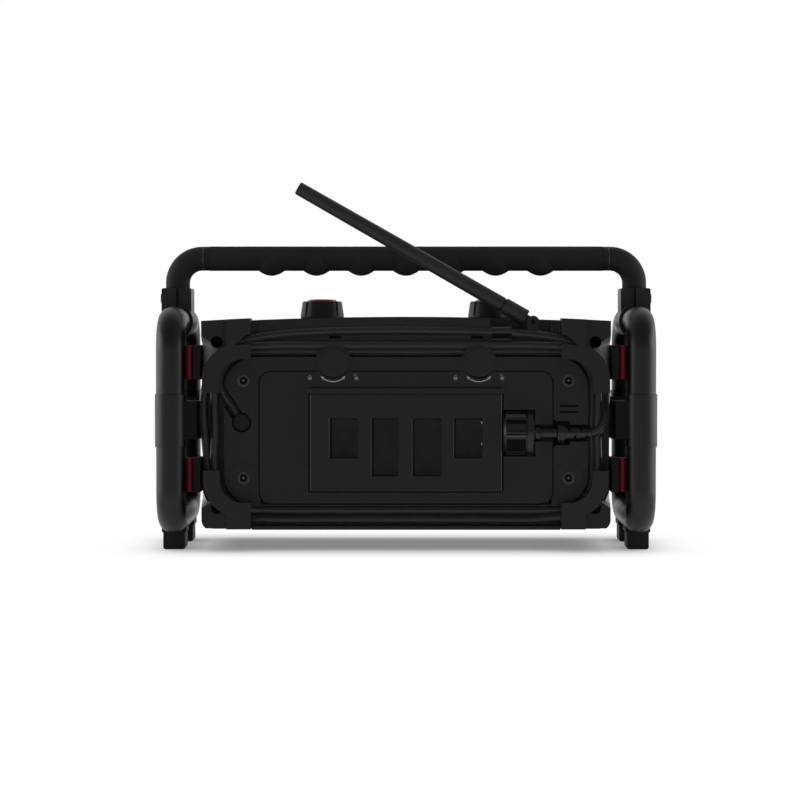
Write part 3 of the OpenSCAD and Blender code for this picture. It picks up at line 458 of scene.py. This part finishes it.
lead = {"diameter": 7.5, "floor": 54, "lift": 3.9, "over": 6.1, "plugY": 70.5, "plugZ": 103.8,
        "mainPoints": 76, "steps": 8, "ease": 0.36, "sides": 24}
backY = -(lead["floor"] + lead["lift"])  # strands that lie on the channel's floor
frontY = backY - lead["over"]            # strands that lie over them
route = [
    (-148.1, backY, 120), (-154, backY, 129), (-159.6, backY, 138), (-162.6, backY, 147),
    (-160.5, backY, 155.5), (-152.5, backY, 166.5), (-141, backY, 173.3),
    (-125, backY, 174.4), (-60, backY, 174.6), (0, backY, 174.6), (60, backY, 174.6),
    (125, backY, 174.4), (141, backY, 173.3), (152.5, backY, 166.5),
    (160.5, backY, 155.5), (162.6, backY, 146), (162.6, backY, 106),
    (162.6, backY, 66), (160.5, backY, 54.8), (152.5, backY, 43.8),
    (141, backY, 37.3), (125, backY, 35.8), (60, backY, 35.4), (0, backY, 35.4),
    (-60, backY, 35.4), (-125, backY, 35.8), (-141, backY - 3, 37.3),
    (-153.2, frontY, 43.6), (-162, frontY, 53.3), (-167, frontY, 68),
    (-167, frontY, 105), (-167, frontY, 144), (-164.8, frontY, 156.5),
    (-156.5, frontY, 169), (-143, frontY, 177.8), (-125, frontY, 179.6),
    (-60, frontY, 180), (0, frontY, 180.2), (60, frontY, 180), (125, frontY, 179.6),
    (143, frontY, 177.8), (156.5, frontY, 169), (164.8, frontY, 156.5),
    (167.2, frontY, 145), (167.2, frontY, 106), (167.2, frontY, 65),
    (165, frontY, 53.5), (156.5, frontY, 41), (143, frontY + 0.6, 32.6),
    (125, backY - 4, 29), (60, backY - 3.8, 28), (0, backY - 3.8, 28),
    (-60, backY - 3.8, 28), (-125, backY - 3, 28.2), (-143, backY - 1, 29.3),
    (-156.8, backY, 39.3), (-169.3, backY, 50.3), (-173, backY, 70), (-176, backY, 98),
    (-177.6, backY, 122), (-175.8, backY, 144), (-171, backY, 157),
    (-162.5, backY, 171), (-149.5, backY, 181), (-133, backY, 186.3),
    (-112, backY, 189.6), (-70, backY, 192.2), (-20, backY, 193.2), (30, backY, 193),
    (80, backY, 191.6), (112, backY, 189.4), (133, backY, 186.2), (149.5, backY, 180.8),
    (162.3, backY, 171), (171, backY, 157), (174.8, backY, 144),
    (174.9, backY - 3, 130), (174.9, backY - 9, 121.5), (173.4, backY - 13, 113.8),
    (168.6, backY - 14.1, 107.4), (164.6, -lead["plugY"] - 1.1, 104.6),
    (161, -lead["plugY"], lead["plugZ"]),
]


def smoothPath(points):  # an even curve through the points, in metres
    knots = [(Vector(point) + Vector((0, handleY, 0))) * mm for point in points]
    aims = []
    for i, knot in enumerate(knots):
        back = knot - knots[max(i - 1, 0)]
        ahead = knots[min(i + 1, len(knots) - 1)] - knot
        aims.append((back.normalized() + ahead.normalized()).normalized())
    path = []
    for near, far, aimNear, aimFar in zip(knots, knots[1:], aims, aims[1:]):
        reach = (far - near).length * lead["ease"]
        path += interpolate_bezier(near, near + aimNear * reach, far - aimFar * reach, far,
                                   lead["steps"] + 1)[:-1]
    return path + [knots[-1]]


def pathLength(path):
    return sum((b - a).length for a, b in zip(path, path[1:]))


def linkCord(name, data):
    data.materials.append(finish("leadSkin"))
    cord = bpy.data.objects.new(name, data)
    bpy.context.collection.objects.link(cord)
    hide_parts("power_lead")
    return cord


def makeCurveCord(name, path):
    data = bpy.data.curves.new(name, "CURVE")
    data.dimensions = "3D"
    data.bevel_depth = lead["diameter"] / 2 * mm
    data.bevel_resolution = 6
    data.use_fill_caps = True
    spline = data.splines.new("POLY")
    spline.points.add(len(path) - 1)
    for knot, point in zip(spline.points, path):
        knot.co = (*point, 1)
    spline.use_smooth = True
    return linkCord(name, data)


def makeTubeCord(name, path):  # a mesh, because only a mesh can bend between two bodies
    rings = []
    across = Vector((1, 0, 0))
    for i, point in enumerate(path):
        along = (path[min(i + 1, len(path) - 1)] - path[max(i - 1, 0)]).normalized()
        across = (across - along * across.dot(along)).normalized()
        up = along.cross(across)
        rings.append([point + (across * math.cos(a) + up * math.sin(a)) * lead["diameter"] / 2 * mm
                      for a in fullTurn(lead["sides"])])
    shape = bmesh.new()
    skinRings(shape, rings)
    bmesh.ops.recalc_face_normals(shape, faces=shape.faces)
    mesh = bpy.data.meshes.new(name)
    shape.to_mesh(mesh)
    shape.free()
    mesh.shade_smooth()
    return linkCord(name, mesh)


leadPath = smoothPath(route)
split = (lead["mainPoints"] - 1) * lead["steps"]
mainPath, tailPath = leadPath[:split + 1], leadPath[split:]
leadMain = makeCurveCord("lead_main", mainPath)
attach(leadMain, "root")
leadTail = makeTubeCord("lead_tail", tailPath)
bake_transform(leadTail)
print("lead laid: %.3f m, of which %.3f m bends with the cover"
      % (pathLength(leadPath), pathLength(tailPath)))

# ---- prints and drives, and painted shade along the seams

coverFace = -72
proud = 0.03       # how far a flat print stands off its face
latchFace, latchX, latchAxisZ = -74.6, 63.5, 164.8
latchMarks = {"z": 163, "radius": 14.4, "half": 38, "line": 0.7, "head": 3.2, "headWidth": 2.4,
              "headOverlap": 2, "steps": 14, "proud": 0.05,
              "seat": (13.25, 13.85, 62, 298), "seatSteps": 40, "seatSunk": 0.1,
              "pocket": (12.4, 13.15, -34, 34), "pocketSteps": 16}
lockMarks = {"reach": 20.3, "height": 150.2, "body": (3.3, 2.5), "neck": 0.5,
             "shackle": (0.75, 1.25), "shackleSteps": 8, "open": 0.9}
drives = {"places": [(x, z) for x in (-141.7, 141.7) for z in (64.5, 149.6)],
          "collar": [(3.25, -72.3), (3.3, -72.75), (3.6, -73.0), (4.9, -73.05), (5.3, -72.95),
                     (5.45, -72.7)],
          "cross": (1.5, 0.36), "crossY": -71.6}


def onFace(shape, corners, y):  # one flat print, given by its corners in X and Z
    shape.faces.new([shape.verts.new((x, y + handleY, z)) for x, z in corners])


def addPatch(shape, x0, x1, z0, z1, y):
    onFace(shape, [(x0, z0), (x1, z0), (x1, z1), (x0, z1)], y)


def arcPoint(centre, radius, angle):  # the angle is measured from straight down
    turn = math.radians(angle)
    return centre[0] + radius * math.sin(turn), centre[1] - radius * math.cos(turn)


def addArc(shape, centre, inner, outer, start, end, steps, y):
    turns = [start + (end - start) * i / steps for i in range(steps + 1)]
    for a, b in zip(turns, turns[1:]):
        onFace(shape, [arcPoint(centre, inner, a), arcPoint(centre, inner, b),
                       arcPoint(centre, outer, b), arcPoint(centre, outer, a)], y)


def addTurnArrow(shape, centre, y):  # double arrow round the foot of a latch
    spec = latchMarks
    half, line = spec["half"], spec["line"] / 2
    addArc(shape, centre, spec["radius"] - line, spec["radius"] + line, -half, half,
           spec["steps"], y)
    tipTurn = math.degrees(spec["head"] / spec["radius"])
    for side in (-1, 1):
        foot = side * (half - spec["headOverlap"])
        onFace(shape, [arcPoint(centre, spec["radius"] - spec["headWidth"] / 2, foot),
                       arcPoint(centre, spec["radius"] + spec["headWidth"] / 2, foot),
                       arcPoint(centre, spec["radius"], foot + side * tipTurn)], y)


def addPadlock(shape, x, z, shift, y):
    width, height = lockMarks["body"]
    inner, outer = lockMarks["shackle"]
    addPatch(shape, x - width / 2, x + width / 2, z, z + height, y)
    top = z + height + lockMarks["neck"] + shift
    addArc(shape, (x - shift, top), inner, outer, 90, 270, lockMarks["shackleSteps"], y)
    for side, foot in ((-1, z + height + shift), (1, z + height)):
        addPatch(shape, *sorted((x - shift + side * inner, x - shift + side * outer)), foot, top, y)


def makeLatchPrints():
    arrows, locks, seats = bmesh.new(), bmesh.new(), bmesh.new()
    y = coverFace - latchMarks["proud"]
    for side in (-1, 1):
        x = side * latchX
        addTurnArrow(arrows, (x, latchMarks["z"]), y)
        addPadlock(locks, x - lockMarks["reach"], lockMarks["height"], 0, y)
        addPadlock(locks, x + lockMarks["reach"], lockMarks["height"], lockMarks["open"], y)
        # the lip closes the shell's side of the gap round a latch
        addArc(seats, (x, latchAxisZ), *latchMarks["seat"], latchMarks["seatSteps"],
               coverFace + latchMarks["seatSunk"])
    makePiece("latch_prints", arrows, "battery_cover", "whitePrint")
    makePiece("lock_marks", locks, "battery_cover", "greyPrint")
    makePiece("latch_seats", seats, "root", "mouldedHousing")
    # painted shade: a dark arc at the foot of each latch's pocket
    for side, name in ((-1, "latch_left"), (1, "latch_right")):
        pocket = bmesh.new()
        addArc(pocket, (side * latchX, latchAxisZ), *latchMarks["pocket"],
               latchMarks["pocketSteps"], latchFace - proud)
        makePiece(name + "_shade", pocket, name, "seamShade")


def turnedY(shape, x, z, profile, steps=32):  # about an axis along Y; the profile is (radius, y)
    skinRings(shape, [[(x + radius * math.cos(a), y + handleY, z + radius * math.sin(a))
                       for a in fullTurn(steps)] for radius, y in profile], closed=False)


def makeScrewDrives():
    collars, crosses = bmesh.new(), bmesh.new()
    arm, half = drives["cross"]
    for x, z in drives["places"]:
        turnedY(collars, x, z, drives["collar"])
        corners = [(half, arm), (half, half), (arm, half), (arm, -half), (half, -half),
                   (half, -arm), (-half, -arm), (-half, -half), (-arm, -half), (-arm, half),
                   (-half, half), (-half, arm)]
        onFace(crosses, [(x + u, z + v) for u, v in corners], drives["crossY"])
    makePiece("screw_collars", collars, "root", "screwCollar")
    makePiece("screw_crosses", crosses, "root", "darkSteel")


# edges of the cover's seam and of the raised plate, along which shade is painted
seams = {
    "cover": {"edges": (-128.2, 128.2, 41.9, 157.8), "corner": 10.5, "band": (-0.6, 0)},
    "plate": {"edges": (-83.7, 83.7, 53.2, 140), "corner": 1.2, "band": (-0.3, 1.5)},
    "plateShadeLines": {"x": (-83.6, 83.6), "above": (143.02, 144.1, -72.03),
                   "across": (136.7, 138.4, -78.02)},
    "latchClear": 15.4, "hinge": 44.2, "leastRadius": 0.05, "cornerSteps": 8, "sideSteps": 60,
}
plateBeads = {"x": 82.9, "y": -77.5, "half": (0.55, 0.62), "z": (53.9, 137.2), "step": 15}


def roundLoop(edges, corner, out):  # points of a rectangle with round corners, grown by out
    x0, x1, z0, z1 = edges
    radius = max(corner + out, seams["leastRadius"])
    centres = [(x1 - corner, z1 - corner), (x0 + corner, z1 - corner),
               (x0 + corner, z0 + corner), (x1 - corner, z0 + corner)]
    points = []
    for k, (x, z) in enumerate(centres):
        nextX, nextZ = centres[(k + 1) % 4]
        for i in range(seams["cornerSteps"] + 1):
            turn = math.radians(90 * (k + i / seams["cornerSteps"]))
            points.append((x + radius * math.cos(turn), z + radius * math.sin(turn)))
        last = points[-1]
        for i in range(1, seams["sideSteps"]):  # the straight run to the next corner
            share = i / seams["sideSteps"]
            points.append((last[0] + (nextX - x) * share, last[1] + (nextZ - z) * share))
    return points


def addSeamShade(shape, edges, corner, inner, outer, y, keep):
    near, far = roundLoop(edges, corner, inner), roundLoop(edges, corner, outer)
    for i in range(len(near)):
        j = (i + 1) % len(near)
        if keep(near[i]) and keep(near[j]):
            onFace(shape, [near[i], near[j], far[j], far[i]], y)


def clearOfLatches(point):
    x, z = point
    away = min(math.hypot(x - side * latchX, z - latchAxisZ) for side in (-1, 1))
    return away > seams["latchClear"] and z > seams["hinge"]


def makeSeamShades():
    # painted shade: dark bands along the cover's seam and round the raised plate, and dark lines
    # above and across the plate
    shape = bmesh.new()
    for name, keep in (("cover", clearOfLatches), ("plate", lambda point: True)):
        spec = seams[name]
        addSeamShade(shape, spec["edges"], spec["corner"], *spec["band"], coverFace - proud, keep)
    makePiece("cover_seam_shade", shape, "battery_cover", "seamShade")
    spec, lines = seams["plateShadeLines"], bmesh.new()
    for low, high, y in (spec["above"], spec["across"]):
        addPatch(lines, *spec["x"], low, high, y)
    makePiece("plate_shade_lines", lines, "battery_cover", "softShade")


def makePlateBeads():  # rounded upright edges of the raised plate, in a pale finish that paints a highlight along them
    shape = bmesh.new()
    spec = plateBeads
    across, deep = spec["half"]
    turns = [math.radians(a) for a in range(-90, 91, spec["step"])]
    for side in (-1, 1):
        profile = [(side * (spec["x"] + across * math.sin(a)), spec["y"] - deep * math.cos(a))
                   for a in turns]
        skinRings(shape, [[(x, y + handleY, z) for x, y in profile] for z in spec["z"]])
    makePiece("plate_beads", shape, "battery_cover", "paleTrimAndPaintedHighlight")


makeLatchPrints()
makeScrewDrives()
makeSeamShades()
makePlateBeads()
print("prints and drives made")

# ---- painted shade and highlight bands on the plug, and what closes the knobs below and above

plugPaintedBands = {"along": (86.9, 103.9), "axis": (-70.5, 103.8), "radius": 19.62,
             "dark": [(-50, -14), (26, 38), (6.2, 8.4), (-3, -0.4)],
             "bright": [(47, 58), (-9, -5), (-73, -67)], "step": 4}
knobTrim = {"x": 75.2, "washer": [(17.6, 204.95), (18.9, 204.95), (19.2, 204.6), (19.2, 201.8)],
            "crown": [(13.1, 219.3), (12.9, 220.1), (12.2, 220.7), (9, 221.1), (4, 221.3),
                      (0.02, 221.35)]}


def addPaintedBand(shape, start, end):  # a painted band along the plug, between two angles from the rear towards the top
    spec = plugPaintedBands
    steps = max(1, round((end - start) / spec["step"]))
    turns = [math.radians(start + (end - start) * i / steps) for i in range(steps + 1)]
    rows = [[shape.verts.new((x, spec["axis"][0] - spec["radius"] * math.cos(a) + handleY,
                              spec["axis"][1] + spec["radius"] * math.sin(a))) for a in turns]
            for x in spec["along"]]
    for i in range(steps):
        shape.faces.new((rows[0][i], rows[0][i + 1], rows[1][i + 1], rows[1][i]))


def makePaintedPlugBands():
    # dark bands of painted shade and pale bands of painted highlight
    for kind, look in (("dark", "seamShade"), ("bright", "paleTrimAndPaintedHighlight")):
        shape = bmesh.new()
        for start, end in plugPaintedBands[kind]:
            addPaintedBand(shape, start, end)
        makePiece("plug_painted_bands_" + kind, shape, "battery_cover", look)


def turnedZ(shape, x, profile, steps=48):  # about an upright axis; the profile is (radius, z)
    skinRings(shape, [[(x + radius * math.cos(a), radius * math.sin(a) + handleY, z)
                       for a in fullTurn(steps)] for radius, z in profile], closed=False)


def makeKnobTrim():
    washers = bmesh.new()
    for side, knob in ((-1, "volume"), (1, "tuning")):
        turnedZ(washers, side * knobTrim["x"], knobTrim["washer"])
        crown = bmesh.new()
        turnedZ(crown, side * knobTrim["x"], knobTrim["crown"])
        makePiece(knob + "_crown", crown, knob + "_control", "redCap")
    makePiece("knob_washers", washers, "root", "knobSkin")


channelTrim = {"slots": {"x": (57.2, 67.4), "z": (186.2, 188.2), "y": -54.05},
               "clip": {"x": (75.2, 92.2), "face": -64.75, "sunk": 0.1, "shade": (186.2, 190.6),
                        "beads": [(195.7, 0.55), (191.6, 0.6), (185.2, 0.3)]}}


def addRod(shape, x0, x1, y, z, radius, steps=12):
    skinRings(shape, [[(x, y + radius * math.cos(a) + handleY, z + radius * math.sin(a))
                       for a in fullTurn(steps)] for x in (x0, x1)])


def makeChannelTrim():  # painted shade for slots in the channel's floor and on the clip, and the clip's ribs in a pale finish that paints highlights
    slots, beads, shade = bmesh.new(), bmesh.new(), bmesh.new()
    slot, clip = channelTrim["slots"], channelTrim["clip"]
    for side in (-1, 1):
        addPatch(slots, *(side * x for x in slot["x"]), *slot["z"], slot["y"])
    for z, radius in clip["beads"]:
        addRod(beads, *clip["x"], clip["face"] + clip["sunk"], z, radius)
    addPatch(shade, *clip["x"], *clip["shade"], clip["face"] - proud)
    makePiece("channel_slot_shades", slots, "root", "seamShade")
    makePiece("clip_beads", beads, "root", "paleTrimAndPaintedHighlight")
    makePiece("clip_shade", shade, "root", "seamShade")


handleTrim = {"ring": {"x": 181.6, "half": 0.6, "z": 257.6, "radius": 11.05, "drop": 0.4,
                       "steps": 40},
              "slit": {"x": 203.7, "half": 0.75, "z": (212, 230.6), "y": -22.03}}


def makeHandleTrim():  # rings at the ends of the grip in a pale finish that paints a highlight, and painted shade for the slits of the sockets
    rings, slits = bmesh.new(), bmesh.new()
    ring, slit = handleTrim["ring"], handleTrim["slit"]
    half, radius = ring["half"], ring["radius"]
    foot = radius - ring["drop"]
    for side in (-1, 1):
        x, middle = side * ring["x"], side * slit["x"]
        profile = [(x - half, foot), (x - half / 2, radius), (x + half / 2, radius),
                   (x + half, foot)]
        skinRings(rings, [[(at, r * math.cos(a) + handleY, ring["z"] + r * math.sin(a))
                           for a in fullTurn(ring["steps"])] for at, r in profile], closed=False)
        addPatch(slits, middle - slit["half"], middle + slit["half"], *slit["z"], slit["y"])
    makePiece("grip_rings", rings, "root", "paleTrimAndPaintedHighlight")
    makePiece("socket_slit_shades", slits, "root", "seamShade")


windows = {"from": (-66.4, -29.8, 5.8, 41.9), "to": (-41.9, -6.5, 30.7, 66.3),
           "low": (82.2, 66.5, 66.5, 82.2), "high": 116.9, "floor": -62.03, "face": -78.03,
           "inset": 0.05, "shade": (1.8, 1.6), "glint": (0.75, 0.15)}
vents = {"x": (134.4, 150), "z": (127.3, 122.2), "half": 0.85, "y": -72.03}


def makeWindowEdges():  # flat strips: painted shade inside the windows' rims and a painted highlight beside their left edge
    shades, glints = bmesh.new(), bmesh.new()
    side, top = windows["shade"]
    outer, inner = windows["glint"]
    high, deep, inset = windows["high"], windows["floor"], windows["inset"]
    for x0, x1, low in zip(windows["from"], windows["to"], windows["low"]):
        addPatch(shades, x0 + inset, x0 + side, low + inset, high - top, deep)
        addPatch(shades, x0 + inset, x1 - inset, high - top, high - inset, deep)
        addPatch(glints, x0 - outer, x0 - inner, low, high, windows["face"])
    makePiece("window_shades", shades, "battery_cover", "softShade")
    makePiece("window_glints", glints, "battery_cover", "paleTrimAndPaintedHighlight")


def makeVents():
    # painted shade in the two vent slots
    shape = bmesh.new()
    for z in vents["z"]:
        addPatch(shape, *vents["x"], z - vents["half"], z + vents["half"], vents["y"])
    makePiece("vent_shades", shape, "root", "seamShade")


makePaintedPlugBands()
makeKnobTrim()
makeChannelTrim()
makeHandleTrim()
makeWindowEdges()
makeVents()

# ---- front: loudspeaker rims, screws, display and key marks

front = {"rim": [(60.2, 94.95), (60.6, 95.6), (61.4, 95.95), (62.8, 95.95), (63.5, 95.6),
                 (63.8, 94.9)],
         "rimSteps": 96, "speaker": (112, 112),
         "screws": [(x, z) for x in (-166, 166) for z in (33, 190)],
         "screwRing": [(0.05, 89.9), (2.6, 89.9), (2.9, 90.35), (3.3, 90.6), (4.2, 90.6),
                       (4.6, 90.3), (4.7, 89.9)],
         "cross": (1.7, 0.42), "crossY": 89.95, "crossSlope": 0.02}
readout = {"y": 85.86, "digits": ("9", "8", "5"), "starts": (-25, -10.5, 6.5), "base": 146.5,
           "size": (11, 19), "line": 1.9, "gap": 0.35, "point": (2.6, 146.5, 2),
           "scale": (-27, 27, 28), "scaleZ": 138, "markHalf": 0.2, "marks": (3.6, 2),
           "longEvery": 4, "bars": (20, 5), "barPitch": 1.8, "barWidth": 1.1, "barHeights": (2, 2)}
keys = {"y": 95.04, "z": 104, "pitch": 14, "middle": 3}
keyMarks = {  # by the key's number, from left to right as read at the front
    # on and off
    5: {"ring": (0, 2, 2.6, 35, 325, 20), "boxes": [(-0.3, 0.3, 0.4, 3.1)]},
    # back
    4: {"outline": [(2.2, -2.3), (2.2, 2.3), (-1.5, 0)], "boxes": [(-2.5, -1.8, -2.3, 2.3)]},
    # sound off
    3: {"outline": [(-2.6, -0.9), (-1.3, -0.9), (0.4, -2.4), (0.4, 2.4), (-1.3, 0.9), (-2.6, 0.9)],
        "ring": (0.4, 1.5, 2, 40, 140, 8)},
    # on to the next
    2: {"outline": [(-2.2, -2.3), (-2.2, 2.3), (1.5, 0)], "boxes": [(1.8, 2.5, -2.3, 2.3)]},
    # list
    1: {"boxes": [(-2.4, 2.4, row - 0.3, row + 0.3) for row in (-1.8, 0, 1.8)]},
}
segmentsOf = {"9": "abcdfg", "8": "abcdefg", "5": "acdfg"}


def onFront(shape, corners, y):  # as onFace, with u counted from left to right as read at the front
    onFace(shape, [(-u, z) for u, z in corners], y)


def addBox(shape, u0, u1, z0, z1, y):
    addPatch(shape, -u0, -u1, z0, z1, y)


def addDigit(shape, digit, u, z):
    (width, height), line, gap = readout["size"], readout["line"], readout["gap"]
    middle, slant = z + height / 2, line / 2
    left, right = (u, u + line), (u + width - line, u + width)
    along = (u + gap, u + width - gap)
    upper, lower = (middle + gap, z + height - gap), (z + gap, middle - gap)
    places = {
        "a": (*along, z + height - line, z + height), "d": (*along, z, z + line),
        "g": (*along, middle - slant, middle + slant),
        "f": (*left, *upper), "b": (*right, *upper), "e": (*left, *lower), "c": (*right, *lower),
    }
    for name in segmentsOf[digit]:
        u0, u1, z0, z1 = places[name]
        if u1 - u0 > z1 - z0:
            half = (z0 + z1) / 2
            corners = [(u0, half), (u0 + slant, z0), (u1 - slant, z0), (u1, half),
                       (u1 - slant, z1), (u0 + slant, z1)]
        else:
            half = (u0 + u1) / 2
            corners = [(half, z0), (u1, z0 + slant), (u1, z1 - slant), (half, z1),
                       (u0, z1 - slant), (u0, z0 + slant)]
        onFront(shape, corners, readout["y"])


def makeReadout():  # a station's number, a tuning scale and signal bars
    shape = bmesh.new()
    y, base = readout["y"], readout["base"]
    for digit, u in zip(readout["digits"], readout["starts"]):
        addDigit(shape, digit, u, base)
    u, z, side = readout["point"]
    addBox(shape, u, u + side, z, z + side, y)
    (low, high, count), half, foot = readout["scale"], readout["markHalf"], readout["scaleZ"]
    tall, short = readout["marks"]
    for i in range(count + 1):
        at = low + (high - low) * i / count
        reach = short if i % readout["longEvery"] else tall
        addBox(shape, at - half, at + half, foot, foot + reach, y)
    start, count = readout["bars"]
    lowest, rise = readout["barHeights"]
    for i in range(count):
        at = start + i * readout["barPitch"]
        addBox(shape, at, at + readout["barWidth"], base, base + lowest + i * rise, y)
    makePiece("display_readout", shape, "root", "readoutInk")


def addRing(shape, u, z, inner, outer, start, end, steps, y):  # angles from straight up
    turns = [math.radians(start + (end - start) * i / steps) for i in range(steps + 1)]
    for a, b in zip(turns, turns[1:]):
        onFront(shape, [(u + r * math.sin(t), z + r * math.cos(t))
                        for r, t in ((inner, a), (inner, b), (outer, b), (outer, a))], y)


def makeKeyMarks():
    y, z = keys["y"], keys["z"]
    for number, mark in keyMarks.items():
        u = (keys["middle"] - number) * keys["pitch"]
        shape = bmesh.new()
        if "outline" in mark:
            onFront(shape, [(u + du, z + dz) for du, dz in mark["outline"]], y)
        if "ring" in mark:
            du, *ring = mark["ring"]
            addRing(shape, u + du, z, *ring, y)
        for u0, u1, z0, z1 in mark.get("boxes", []):
            addBox(shape, u + u0, u + u1, z + z0, z + z1, y)
        makePiece("key_mark_%d" % number, shape, "button_%d" % number, "whitePrint")


def makeFrontTrim():
    rims, rings, crosses = bmesh.new(), bmesh.new(), bmesh.new()
    for side in (-1, 1):
        x, z = front["speaker"]
        turnedY(rims, side * x, z, front["rim"], front["rimSteps"])
    for x, z in front["screws"]:
        turnedY(rings, x, z, front["screwRing"])
        for u, v in (front["cross"], front["cross"][::-1]):
            addPatch(crosses, x - u, x + u, z - v, z + v, front["crossY"] + front["crossSlope"] * u)
    makePiece("speaker_rims", rims, "root", "paleTrimAndPaintedHighlight")
    makePiece("front_screws", rings, "root", "screwCollar")
    makePiece("front_screw_crosses", crosses, "root", "blackScrew")


makeReadout()
makeKeyMarks()
makeFrontTrim()
print("plug, knobs and front finished")
